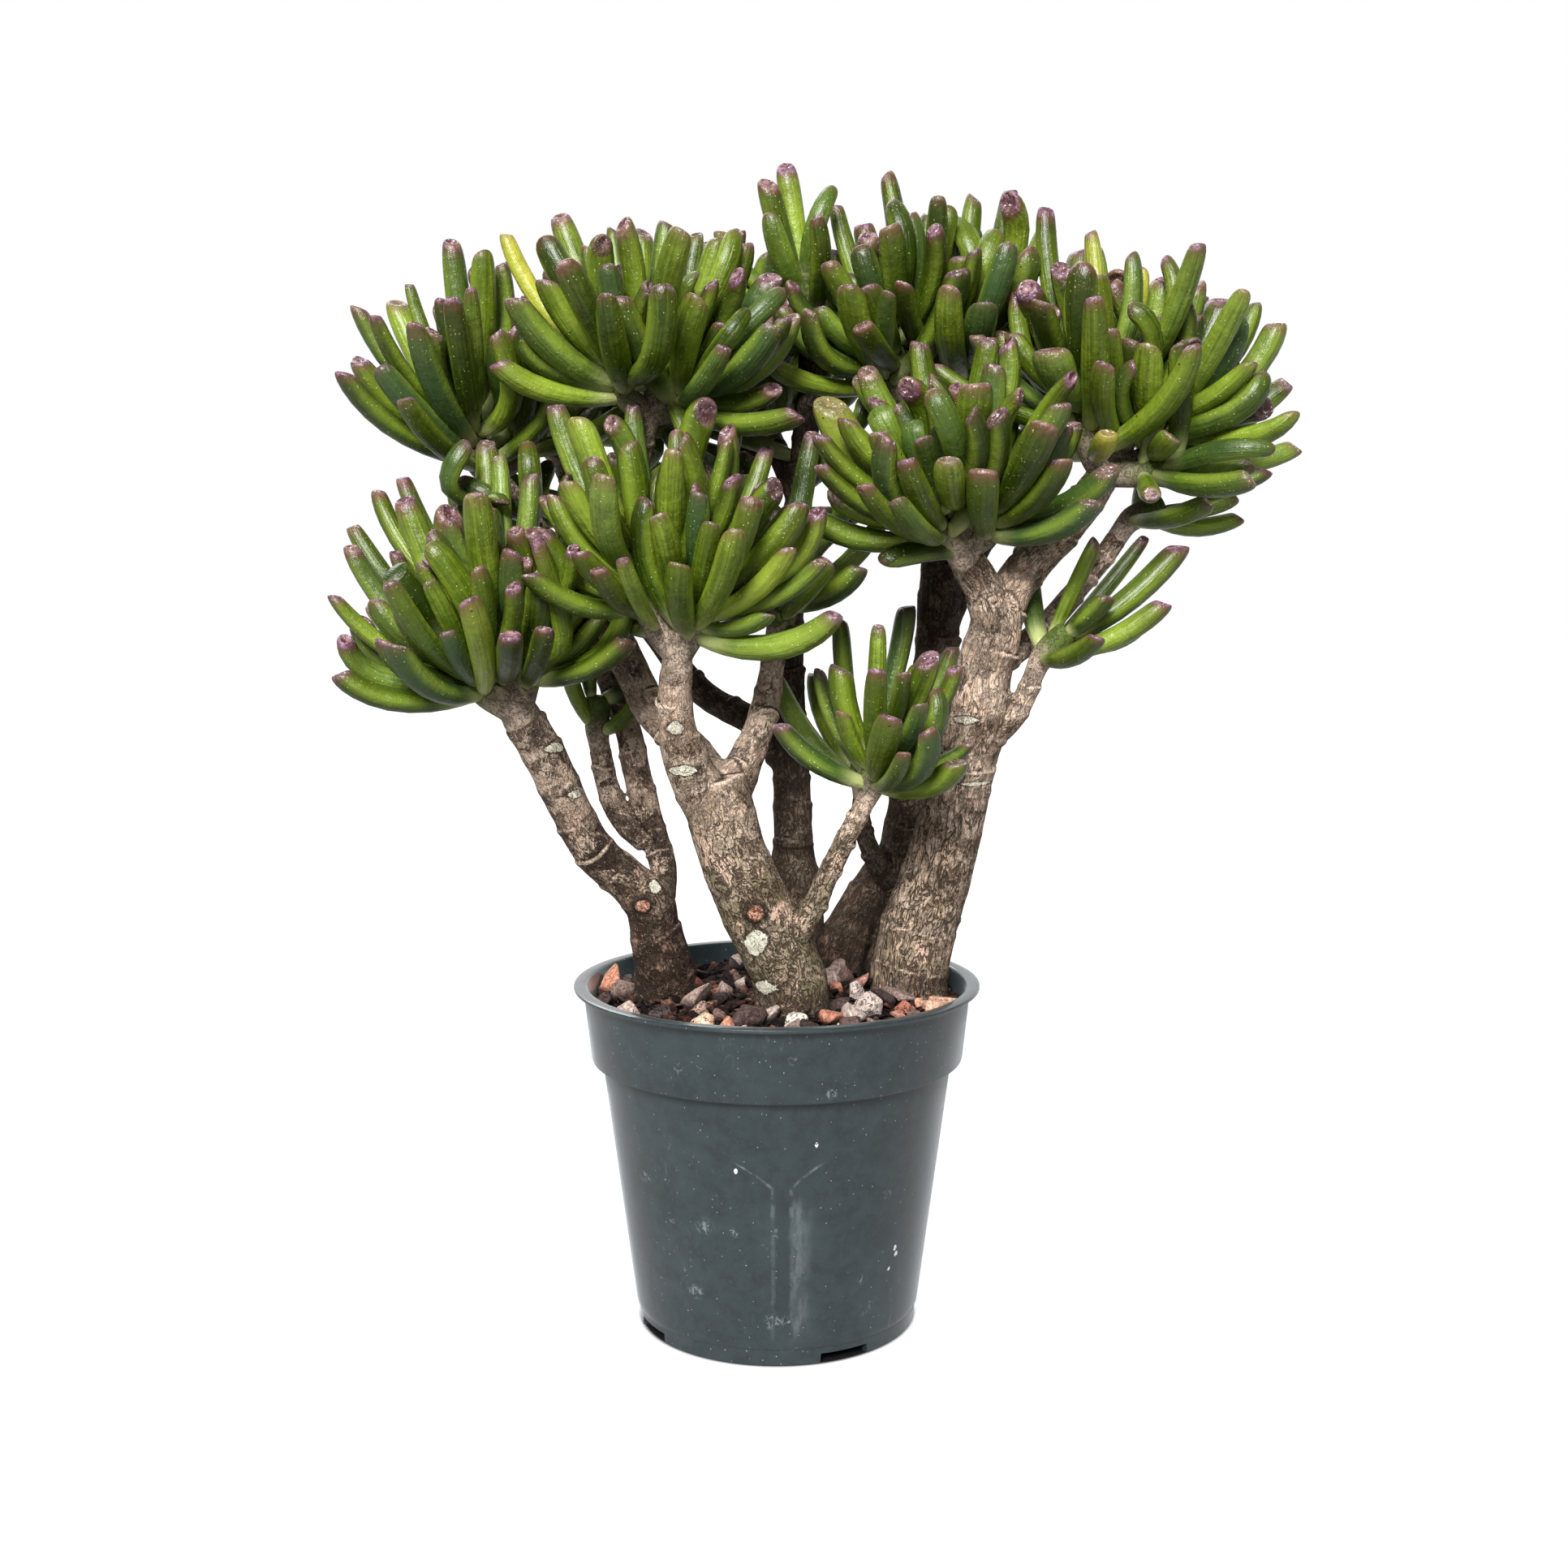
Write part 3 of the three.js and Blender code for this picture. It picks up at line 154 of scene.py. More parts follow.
SPRAYS = {
    "left_top": spray(
        "left", 1, 11,
        "-124 20 358 -134 15 436 8 64, -109 30 364 -107 38 426 6 55",
        """0 -174 -10 395 5.1, 0 -169 10 420 4.4, 0 -158 -12 414 4.3, 0 -141 -25 411 5.8,
        0 -134 20 450 5.2, 0 -119 5 441 5.6, 0 -121 -15 423 3.9, 0 -134 -5 421 4,
        0 -153 30 432 3.5, 1 -111 10 405 4.1, 1 -101 0 409 4.7""",
        sprouts="""-96 25 322 -84 12 368 4.5, -103 24 332 -101 2 366 4.4,
        -110 22 343 -132 -4 366 4.6, -107 24 338 -122 -2 352 4""",
    ),
    "centre_left": spray(
        "centre", 2, 12,
        "-60 -4 384 -82 -14 446 7 62, -48 4 388 -36 4 455 7 62, -40 -2 381 -10 -20 430 6 56",
        """0 -102 -30 421 6.4, 0 -90 -20 427 5.5, 0 -111 10 454 4.1, 0 -91 20 460 5.8,
        0 -66 -15 434 4.6, 1 -67 18 452 4.5, 1 -44 8 455 6.1, 1 -33 20 455 4.1, 1 -23 2 445 5.7,
        1 -15 16 455 4.4, 2 -30 -40 420 6, 2 -22 -28 410 3.9, 2 0 -32 411 6.7, 2 -2 -5 432 5.7""",
        sprouts="-62 6 342 -42 18 372 4.6, -58 4 354 -24 16 362 4.4, -60 2 348 -36 -8 376 4",
        tint=0.08, marked={2: (0.9, 0.1, 0.85), 7: (0.1, 0.1, 0), 13: (0.25, 0.5, 0)},
    ),
    "back_top": spray(
        "back", 0, 13,
        "14 54 422 -1 55 478 4 54",
        "0 -4 50 479 5, 0 4 62 486 4.7, 0 -3 38 463 5.3",
        inner=0.3,
    ),
    "back_right": spray(
        "back_right", 0, 14,
        """53 38 396 33 40 465 8 60, 67 48 402 67 62 472 8 60, 79 40 396 96 46 472 8 60,
        46 36 392 16 34 452 6 56""",
        """0 26 60 471 4.7, 0 37 70 468 4.7, 0 45 52 482 5, 1 55 62 468 5.1, 1 75 66 468 5.1,
        2 85 56 472 5, 2 100 62 476 5.1, 1 77 22 440 5.9, 2 82 2 422 6.7, 0 22 20 439 5.5,
        0 39 12 429 5.8, 0 16 28 425 5.2, 2 96 38 446 4.9""",
        marked={12: (0.8, 0.3, 0.6)},
    ),
    "right": spray(
        "right", 2, 15,
        """128 -2 362 114 -2 446 7 66, 136 16 366 108 28 440 6 62, 142 8 367 150 10 450 8 66,
        154 5 362 186 8 428 8 62, 148 -5 354 196 -8 366 5 56""",
        """0 115 40 467 4.6, 0 126 25 454 4.5, 0 124 -18 427 9.2, 2 127 -25 414 5.5,
        2 148 5 436 4.7, 2 161 12 430 6.1, 3 182 20 428 6.2, 3 190 32 419 4.9, 3 176 -5 403 4.7,
        3 201 15 400 4.4, 4 205 5 390 4.4, 4 214 10 366 4.4, 4 188 -22 357 5.2, 3 143 -32 398 6.1,
        0 108 -28 400 7.4, 0 127 -45 368 4.7, 3 152 -32 372 4.8, 4 146 -36 345 4.5""",
        tint=0.02, marked={
            1: (0.8, 0.5, 0.55), 2: (0.5, 0.25, 0.1), 4: (0.9, 0.25, 0.9), 15: (0.9, 0.2, 0.75),
        },
    ),
    "right_low": spray(
        "right", 4, 16,
        "149 26 336 184 28 352 3 50",
        "0 192 22 346 4.5",
        inner=0, tint=0.1,
    ),
    "front_right": spray(
        "right", 1, 17,
        "66 -26 329 38 -42 378 7 56, 74 -20 334 62 -22 408 7 62, 84 -20 330 98 -34 386 7 58",
        """0 21 -22 382 8.1, 0 19 -40 369 4.8, 0 16 -50 356 4.4, 0 31 -70 349 4.6,
        0 39 -52 367 5.3, 0 56 -60 363 4, 1 64 -68 356 5.5, 2 75 -68 356 5.8, 1 58 -10 406 5.9,
        0 34 -8 400 5.6, 2 85 -28 395 5.5, 2 106 -62 359 5.2, 2 110 -40 369 5.1,
        0 45 -30 378 3.9""",
        sprouts="77 -18 323 40 -34 326 5.2",
        marked={0: (0.55, 0.05, 0.35), 3: (0.6, 1, 0)},
    ),
    "front": spray(
        "centre", 1, 18,
        "-46 -42 292 -78 -46 372 7 60, -39 -38 296 -42 -26 378 7 64, -33 -42 291 -6 -50 358 7 60",
        """0 -88 -25 383 5.5, 0 -76 -42 373 6, 0 -77 -60 347 4.3, 1 -57 -12 384 4.6,
        1 -39 -36 369 4.2, 1 -21 -10 374 4.6, 1 -20 -32 363 4.2, 2 -4 -15 365 4.3,
        1 -44 -78 336 5.1, 2 -28 -72 343 4.6, 2 -23 -80 334 4.2, 2 -8 -62 343 4.6, 2 7 -42 338 4.4,
        2 9 -66 329 4.9, 2 -3 -60 302 4, 0 -71 -78 325 5.1, 0 -65 -86 317 4.8,
        0 -56 -92 321 3.5""",
        tint=0.08, marked={
            11: (0.95, 0.8, 0.15), 12: (0.9, 0.7, 0), 13: (1.05, 0.9, 0.12), 15: (0.62, 1, 0),
        },
    ),
    "centre_small": spray(
        "centre", 3, 19,
        "1 -4 292 14 2 342 3 50",
        "0 33 -20 317 5.9, 0 15 12 372 4.8, 0 11 -12 290 3.3, 0 -2 -18 300 3.3",
        inner=0.3,
    ),
    "left_low": spray(
        "left", 0, 20,
        """-116 -35 268 -152 -40 322 7 60, -109 -28 272 -126 -16 350 8 62,
        -100 -26 270 -84 -26 326 7 55""",
        """0 -175 -40 308 4.4, 0 -171 -25 328 4.9, 0 -174 0 333 4.4, 1 -163 0 351 4.4,
        1 -158 15 355 4.1, 0 -147 -24 342 5.2, 0 -144 -52 318 4.4, 0 -140 -64 299 4.9,
        1 -132 10 357 4.7, 1 -123 15 365 4.8, 1 -113 0 364 4.4, 1 -113 -28 339 4.8,
        2 -99 -55 321 5, 0 -112 -90 306 5, 1 -98 -84 293 4.8, 2 -87 -66 295 4.3, 2 -99 -5 336 4.7,
        2 -83 -12 335 4.6, 2 -69 -30 298 4.5, 1 -127 -40 333 4.4, 0 -122 -78 294 3.6,
        0 -131 -62 310 4""",
        tint=-0.02, marked={12: (0.4, 1, 0), 13: (0.95, 1, 0.1)},
    ),
    "twig": spray(
        "centre", 4, 21,
        "38 -43 232 42 -52 284 6 46",
        """0 17 -35 280 3.8, 0 38 -72 279 4.6, 0 40 -36 293 3.8, 0 49 -60 277 3.4,
        0 53 -74 265 3.6, 0 70 -48 281 4.1, 0 73 -56 249 3.7, 0 48 -86 250 3.6,
        0 25 -58 263 3.7""",
        inner=0.2, tint=-0.1, marked={1: (0.5, 1, 0), 5: (0.35, 1, 0)},
    ),
    "side_right": spray(
        "right", 3, 22,
        "108 -10 280 136 -14 312 3 52",
        "0 129 -12 327 3.7, 0 132 -20 305 4.6, 0 164 -2 326 5.8, 0 153 4 330 3.5",
        inner=0.2,
    ),
    "left_shoot": spray(
        "left", 2, 23,
        "-76 18 247 -76 18 276 1 28",
        "0 -80 16 280 3.6, 0 -58 6 268 4",
        sprouts="-76 18 248 -95 12 282 4",
        inner=0,
    ),
    "back_left": spray(
        "back", 1, 24,
        "-101 80 369 -118 88 434 11 60, -88 93 370 -80 122 436 11 60",
        sprouts="""-90 76 346 -112 56 372 5.2, -86 75 338 -98 48 360 4.8,
        -88 76 346 -50 54 370 5.2, -89 76 340 -122 52 354 5.4""",
        tint=-0.12,
    ),
    "back_middle": spray(
        "back", 3, 25,
        "-26 92 396 -44 108 460 11 60, -10 98 396 4 120 460 11 60",
        sprouts="-13 82 362 -54 66 374 5.2, -12 80 356 -36 58 378 5, -14 82 364 -42 60 372 5.6",
        tint=-0.14,
    ),
    "back_inner": spray(
        "back", 2, 28,
        "-4 68 378 -6 56 420 7 50",
        "0 8 40 400 4.8, 0 -6 42 398 4.4",
        sprouts="""5 50 336 -12 24 362 4.4, 10 52 350 20 26 368 4.3, 8 50 322 25 26 350 4,
        12 52 366 36 26 386 4.4, 4 58 350 -16 36 374 5, 8 52 330 32 38 362 4.8,
        12 56 362 -16 70 384 5, 10 52 340 40 66 352 5""",
        tint=-0.12,
    ),
    "back_far_right": spray(
        "back_right", 1, 26,
        "128 88 388 120 114 454 11 60, 144 86 386 176 102 440 11 60",
        tint=-0.1,
    ),
    "back_twig": spray(
        "back_right", 2, 27,
        "36 17 226 40 20 286 3 58",
        "0 27 20 295 4.5, 0 55 26 300 4.8",
        inner=0.5,
    ),
}

# ---- sizes and colours that a user may change ----


def length(name, description, default):
    return bpy.props.FloatProperty(
        name=name, description=description, default=default, unit="LENGTH", precision=4
    )


def share(name, description, default, low=0.0, high=1.0):
    return bpy.props.FloatProperty(
        name=name, description=description, default=default, min=low, max=high, subtype="FACTOR"
    )


def colour(name, description, default):
    return bpy.props.FloatVectorProperty(
        name=name, description=description, default=default, min=0, max=1, size=3, subtype="COLOR"
    )


def count(name, description, default, low, high):
    return bpy.props.IntProperty(
        name=name, description=description, default=default, min=low, max=high
    )


def strength(name, description, default, high, low=0.0):
    return bpy.props.FloatProperty(
        name=name, description=description, default=default, min=low, max=high
    )


class PotSettings(bpy.types.PropertyGroup):
    """Sizes and colours of the pot."""

    facets: count("Facets", "Flat faces round the pot", 144, 32, 256)
    height: length("Height", "Height of the pot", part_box("pot")[1].z)
    rim_radius: length("Rim radius", "Radius of the flat rim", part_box("pot")[1].x)
    notch_height: length("Notch height", "Height of the drain notches in the foot", 0.004)
    drain_radius: length("Drain radius", "Radius of the drain holes in the floor", 0.0035)
    plastic: colour("Plastic", "Colour of the plastic", (0.0228, 0.0350, 0.0392))
    dust: colour("Dust", "Colour of dust, scuffs and dried water", (0.42, 0.46, 0.47))


class SoilSettings(bpy.types.PropertyGroup):
    """The soil, its grit and the stones on it."""

    relief: length("Relief", "Height of the crumbs in the soil", 0.0022)
    grit_room: length("Grit spacing", "Least distance between pieces of grit", 0.0036)
    grit_size: length("Grit size", "Half the length of a usual piece of grit", 0.0040)
    gravel_room: length("Gravel spacing", "Least distance between small stones", 0.0088)
    gravel_size: length("Gravel size", "Half the length of a usual small stone", 0.0058)
    seed: count("Seed", "Chooses how the grit lies", 5, 0, 1000)
    peat: colour("Peat", "Colour of the damp peat", (0.018, 0.012, 0.010))


class StemSettings(bpy.types.PropertyGroup):
    """The woody stems and their bark."""

    sides: count("Sides", "Sides of a stem before its skin is made", 20, 6, 48)
    skin: length("Skin size", "Size of the cells of the skin", 0.0011)
    ridge: length("Node ridge", "Height of the ridge at each old leaf joint", 0.0008)
    relief: length("Bark relief", "Depth of the net of furrows in the bark", 0.00035)
    bark_light: colour("Light bark", "Colour of the dry, light bark", (0.53, 0.405, 0.310))
    bark_dark: colour("Dark bark", "Colour in the furrows", (0.050, 0.033, 0.022))
    bark_green: colour("Green bark", "Green tinge low on the stems", (0.135, 0.128, 0.060))
    scar: colour("Scar", "Colour of bare patches", (0.74, 0.70, 0.56))


class LeafSettings(bpy.types.PropertyGroup):
    """The tubular leaves."""

    girth: strength("Girth", "Thickness of every leaf over its own", 1.05, 1.5, 0.5)
    flatness: share("Flatness", "Thickness of a leaf over its width", 0.88, 0.5, 1.0)
    slant: share("Slant", "Slope of the cut of a leaf's tip", 0.62)
    unevenness: share("Unevenness", "How much a leaf swells and shrinks along its length", 0.12)
    green: colour("Green", "Usual green of a leaf", (0.068, 0.108, 0.004))
    deep_green: colour("Deep green", "Green of the shaded, cooler leaves", (0.020, 0.038, 0.002))
    fresh_green: colour("Fresh green", "Green of the brightest leaves", (0.250, 0.345, 0.032))
    cool_green: colour("Cool green", "Green of the few bluish leaves", (0.050, 0.105, 0.040))
    root_green: colour("Root green", "Pale green where a leaf leaves its shoot", (0.40, 0.44, 0.17))
    tip_red: colour("Tip red", "Mauve of the dished tips", (0.110, 0.045, 0.066))
    yellow: colour("Yellow", "Colour of an ageing leaf", (0.56, 0.50, 0.06))


class StageSettings(bpy.types.PropertyGroup):
    """The floor, the light and the camera."""

    floor_size: length("Floor size", "Length of one side of the floor", 12.0)
    floor_tone: share("Floor tone", "Lightness of the floor", 0.16)
    floor_glow: share("Floor glow", "How much the floor glows of itself", 0.90)
    surround: strength("Surround", "Strength of the light from all round", 0.46, 5)
    key: strength("Key light", "Strength of the soft light from above the camera", 5.95, 20)
    lens: bpy.props.FloatProperty(
        name="Lens", description="Focal length of the camera", default=43.42, unit="CAMERA"
    )
    camera_place: bpy.props.FloatVectorProperty(
        name="Camera", description="Where the camera stands", default=(0.003, -0.780, 0.322),
        size=3, subtype="TRANSLATION",
    )
    camera_pitch: bpy.props.FloatProperty(
        name="Pitch", description="Angle of the camera from straight down", subtype="ANGLE",
        default=math.radians(83.05),
    )


SETTINGS = {
    "jade_pot": PotSettings,
    "jade_soil": SoilSettings,
    "jade_stems": StemSettings,
    "jade_leaves": LeafSettings,
    "jade_stage": StageSettings,
}

# ---- node trees ----


class Wire:
    """An output socket. A sum on it adds the Math or Vector Math node that works the sum out."""

    def __init__(self, graph, socket):
        self.graph = graph
        self.socket = socket

    def is_vector(self):
        return self.socket.type == "VECTOR"

    def work(self, operation, other, swapped=False):
        pair = (other, self) if swapped else (self, other)
        vectors = [x.is_vector() if isinstance(x, Wire) else isinstance(x, tuple) for x in pair]
        kind, sockets = "ShaderNodeVectorMath", dict(enumerate(pair))
        if not any(vectors):
            kind = "ShaderNodeMath"
        elif operation == "MULTIPLY" and not all(vectors):
            vector, number = pair if vectors[0] else pair[::-1]
            operation, sockets = "SCALE", {0: vector, 3: number}
        return self.graph.add(kind, {"operation": operation}, sockets)

    def __add__(self, other):
        return self.work("ADD", other)

    def __radd__(self, other):
        return self.work("ADD", other, True)

    def __sub__(self, other):
        return self.work("SUBTRACT", other)

    def __rsub__(self, other):
        return self.work("SUBTRACT", other, True)

    def __mul__(self, other):
        return self.work("MULTIPLY", other)

    def __rmul__(self, other):
        return self.work("MULTIPLY", other, True)

    def __pow__(self, other):
        return self.work("POWER", other)

    def higher(self, other):
        return self.work("MAXIMUM", other)

    def lower(self, other):
        return self.work("MINIMUM", other)

    def absolute(self):
        return self.work("ABSOLUTE", 0.0)

    def cross(self, other):
        return self.work("CROSS_PRODUCT", other)

    def unit(self):
        return self.graph.add("ShaderNodeVectorMath", {"operation": "NORMALIZE"}, {0: self})

    def distance(self, place):
        settings = {"operation": "DISTANCE"}
        return self.graph.add("ShaderNodeVectorMath", settings, {0: self, 1: place}, 1)

    def part(self, axis):
        return self.graph.add("ShaderNodeSeparateXYZ", {}, {0: self}, axis)

    def ramp(self, low, high):
        """0 at low, 1 at high, smooth between them and level past them."""
        sockets = {0: self, 1: low, 2: high, 3: 0.0, 4: 1.0}
        return self.graph.add("ShaderNodeMapRange", {"interpolation_type": "SMOOTHSTEP"}, sockets)


class Graph:
    """Adds nodes to one tree."""

    PER_COLUMN = 8

    def __init__(self, tree):
        self.tree = tree

    def add(self, kind, settings=None, sockets=None, output=0):
        """Adds a node of a type, with its settings and the values or links of its sockets."""
        node = self.tree.nodes.new(kind)
        column, row = divmod(len(self.tree.nodes), self.PER_COLUMN)
        node.location = (220 * column, -200 * row)
        for key, value in (settings or {}).items():
            if key == "stops":
                self.set_stops(node.color_ramp, value)
            else:
                setattr(node, key, value)
        for key, value in (sockets or {}).items():
            self.feed(node.inputs[key], value)
        return Wire(self, node.outputs[output]) if len(node.outputs) else node

    def feed(self, socket, value):
        if isinstance(value, Wire):
            self.tree.links.new(value.socket, socket)
        elif isinstance(value, (list, tuple)) and any(isinstance(part, Wire) for part in value):
            for part in value:
                self.tree.links.new(part.socket, socket)
        elif socket.type == "RGBA" and len(value) == 3:
            socket.default_value = (*value, 1)
        else:
            socket.default_value = value

    def set_stops(self, ramp, stops):
        while len(ramp.elements) > 1:
            ramp.elements.remove(ramp.elements[-1])
        for index, (place, tone) in enumerate(stops):
            stop = ramp.elements[0] if index == 0 else ramp.elements.new(place)
            stop.position = place
            stop.color = (*tone, 1)

    def noise(self, vector, scale, detail=3.0, roughness=0.55, distortion=0.0):
        return self.add("ShaderNodeTexNoise", {}, {
            "Vector": vector, "Scale": scale, "Detail": detail, "Roughness": roughness,
            "Distortion": distortion,
        })

    def cells(self, vector, scale, output="Distance"):
        return self.add("ShaderNodeTexVoronoi", {}, {"Vector": vector, "Scale": scale}, output)

    def blend(self, factor, first, second, way="MIX"):
        settings = {"data_type": "RGBA", "blend_type": way}
        return self.add("ShaderNodeMix", settings, {0: factor, 6: first, 7: second}, 2)

    def paint(self, tone, *coats):
        """Lays coats over a tone, one after the other. Each is (where, colour)."""
        for where, coat in coats:
            tone = self.blend(where, tone, coat)
        return tone

    def palette(self, factor, stops):
        return self.add("ShaderNodeValToRGB", {"stops": stops}, {0: factor})

    def light_path(self, kind):
        return self.add("ShaderNodeLightPath", {}, {}, f"Is {kind} Ray")


class Finish(Graph):
    """A material under way, with one main shader."""

    def __init__(self, name):
        self.material = bpy.data.materials.new(name)
        self.material.use_nodes = True
        super().__init__(self.material.node_tree)
        self.tree.nodes.clear()

    def place(self):
        """Where a point is on the object, in metres."""
        return self.add("ShaderNodeTexCoord", {}, {}, "Object")

    def read(self, name, vector=False):
        output = "Vector" if vector else "Fac"
        return self.add("ShaderNodeAttribute", {"attribute_name": name}, {}, output)

    def bump(self, height, distance, strength=1.0):
        sockets = {"Height": height, "Distance": distance, "Strength": strength}
        return self.add("ShaderNodeBump", {}, sockets)

    def close(self, **sockets):
        """Ends the material in its main shader, whose sockets are given by name."""
        named = {key.replace("_", " "): value for key, value in sockets.items()}
        shader = self.add("ShaderNodeBsdfPrincipled", {}, named)
        self.add("ShaderNodeOutputMaterial", {}, {"Surface": shader})
        return self.material


class Growth(Graph):
    """A geometry tree under way. Its inputs are (name, socket type, default)."""

    def __init__(self, name, inputs):
        super().__init__(bpy.data.node_groups.new(name, "GeometryNodeTree"))
        sides = self.tree.interface
        sides.new_socket("Geometry", in_out="INPUT", socket_type="NodeSocketGeometry")
        for label, kind, default in inputs:
            socket = sides.new_socket(label, in_out="INPUT", socket_type="NodeSocket" + kind)
            if default is not None:
                socket.default_value = default
        sides.new_socket("Geometry", in_out="OUTPUT", socket_type="NodeSocketGeometry")
        entry = self.tree.nodes.new("NodeGroupInput")
        self.inputs = {socket.name: Wire(self, socket) for socket in entry.outputs if socket.name}

    def read(self, name, vector=False):
        kind = "FLOAT_VECTOR" if vector else "FLOAT"
        return self.add("GeometryNodeInputNamedAttribute", {"data_type": kind}, {"Name": name})

    def coat(self, geometry, material):
        sockets = {"Geometry": geometry, "Material": material}
        return self.add("GeometryNodeSetMaterial", {}, sockets)

    def finish(self, geometry, material=None):
        """Realizes the instances, sets a material that isn't set yet and ends the tree."""
        real = self.add("GeometryNodeRealizeInstances", {}, {0: geometry})
        made = self.add("GeometryNodeSetShadeSmooth", {}, {0: real})
        if material:
            made = self.coat(made, material)
        self.add("NodeGroupOutput", {}, {0: made})
        return self

    def grow(self, obj, values):
        """Runs the tree on a mesh object, whose mesh becomes the plain result."""
        modifier = obj.modifiers.new(self.tree.name, "NODES")
        modifier.node_group = self.tree
        for item in self.tree.interface.items_tree:
            if item.in_out == "INPUT" and item.name in values:
                modifier[item.identifier] = values[item.name]
        return apply_all(obj)


# ---- meshes ----


def scaled(tone, *factors):
    """A tone whose parts are scaled by one factor, or by one each, up to 1."""
    if len(factors) == 1:
        factors *= 3
    return [min(1.0, part * factor) for part, factor in zip(tone, factors)]


def new_mesh(name, points, edges=(), faces=()):
    mesh = bpy.data.meshes.new(name)
    mesh.from_pydata(points, edges, faces)
    return mesh


def mesh_of(name, body):
    """Ends a bmesh under way in a mesh."""
    mesh = bpy.data.meshes.new(name)
    body.to_mesh(mesh)
    body.free()
    return mesh


def new_object(name, mesh):
    obj = bpy.data.objects.new(name, mesh)
    bpy.context.scene.collection.objects.link(obj)
    return obj


def apply_all(obj):
    """Turns an object with modifiers into the plain mesh that they make."""
    bpy.context.view_layer.update()
    graph = bpy.context.evaluated_depsgraph_get()
    result = obj.evaluated_get(graph)
    made = bpy.data.meshes.new_from_object(result, preserve_all_data_layers=True, depsgraph=graph)
    if not made.polygons:
        raise RuntimeError(f"{obj.name} came out without faces")
    obj.modifiers.clear()
    old, obj.data = obj.data, made
    made.name = obj.name
    bpy.data.meshes.remove(old)
    return obj


def places_of(mesh):
    places = np.empty(len(mesh.vertices) * 3, np.float32)
    mesh.vertices.foreach_get("co", places)
    return places.reshape(-1, 3).astype(float)


def store(mesh, name, values):
    """Keeps a number or a vector for each vertex under a name."""
    values = np.asarray(values, np.float32)
    vector = values.ndim == 2
    layer = mesh.attributes.new(name, "FLOAT_VECTOR" if vector else "FLOAT", "POINT")
    layer.data.foreach_set("vector" if vector else "value", values.ravel())


def round_turn(sides):
    """Even angles once round."""
    return [2 * math.pi * k / sides for k in range(sides)]


def turned_mesh(name, outline, angles, shape=None):
    """A closed body turned about Z from (radius, z) pairs, with a pole on the axis at both ends.

    shape(ring, angle, radius, z) may move a point.
    """
    points = [(0, 0, outline[0][1])]
    for ring, (radius, z) in enumerate(outline[1:-1]):
        for angle in angles:
            r, h = shape(ring, angle, radius, z) if shape else (radius, z)
            points.append((r * math.cos(angle), r * math.sin(angle), h))
    points.append((0, 0, outline[-1][1]))
    n = len(angles)
    faces = [(0, 1 + (k + 1) % n, 1 + k) for k in range(n)]
    for ring in range(len(outline) - 3):
        first = 1 + ring * n
        for k in range(n):
            m = (k + 1) % n
            faces.append((first + k, first + m, first + n + m, first + n + k))
    last = 1 + (len(outline) - 3) * n
    faces += [(last + k, last + (k + 1) % n, len(points) - 1) for k in range(n)]
    mesh = new_mesh(name, points, faces=faces)
    body = bmesh.new()
    body.from_mesh(mesh)
    bmesh.ops.recalc_face_normals(body, faces=body.faces)
    body.to_mesh(mesh)
    body.free()
    return mesh


def shade(obj, material, sharp=None):
    obj.data.materials.clear()
    obj.data.materials.append(material)
    obj.data.polygons.foreach_set("use_smooth", [True] * len(obj.data.polygons))
    if sharp is not None:
        obj.data.set_sharp_from_angle(angle=math.radians(sharp))


def settle_piece(obj, slot, *nodes):
    """Puts a finished piece on the frame."""
    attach(obj, "root")
    if nodes:
        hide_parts(*nodes)


def seeded(seed):
    """The same even random numbers on every run."""
    state = float(seed)
    while True:
        state = math.fmod(state * 1103515245.0 + 12345.0, 2147483648.0)
        yield state / 2147483648.0


def unit(vector):
    return vector / np.linalg.norm(vector)


def dots(first, second):
    return np.einsum("ij,ij->i", first, second)


# ---- pot ----

# The pot's height and the radius of its rim, as its outline is drawn.
DRAWN_HEIGHT = 144 * MM
DRAWN_RADIUS = 85 * MM
# (radius, z) round the pot's wall in millimetres, from the middle of its underside, out and up, and
# back inside.
POT_OUTLINE = [
    (0, 0), (19.2, 0), (20.2, 0.4), (21.8, 4.0), (22.8, 4.5), (53.8, 4.5), (54.8, 4.1),
    (55.6, 0.5), (56.2, 0), (58.2, 0), (58.7, 0.3), (58.8, 1.0), (58.8, 6.3), (59.0, 6.9),
    (59.5, 7.1), (59.8, 7.8), (60.2, 10.5), (66.6, 60), (73.2, 110.8), (73.4, 111.9),
    (73.9, 112.5), (77.2, 112.6), (77.75, 112.9), (78.0, 113.8), (79.5, 128), (80.7, 139.4),
    (81.0, 141.2), (81.7, 142.0), (84.2, 142.2), (84.8, 142.5), (85.0, 143.1), (84.8, 143.7),
    (84.2, 144), (80.4, 144), (79.7, 143.7), (79.3, 143.0), (76.2, 115.2), (75.6, 114.4),
    (72.6, 114.2), (71.8, 113.6), (58.4, 9.0), (57.6, 7.2), (56.0, 6.5), (20, 6.5), (0, 6.5),
]
FOOT_RINGS = range(5, 12)  # the rings of the outline that make the foot
NOTCH_TURN = 28  # degrees from the front to the first notch
NOTCH_HALF = 10.3  # degrees
NOTCH_STEEP = 0.35
COLLAR_EDGE = 0.1128

# The marks of dried water run down the front of the pot in two lines, which part near their top.
WATER_TOP = 0.0755
WATER_REACH = 0.012
WATER_LINES = [(-0.0013, -0.0175), (0.0058, 0.0195)]
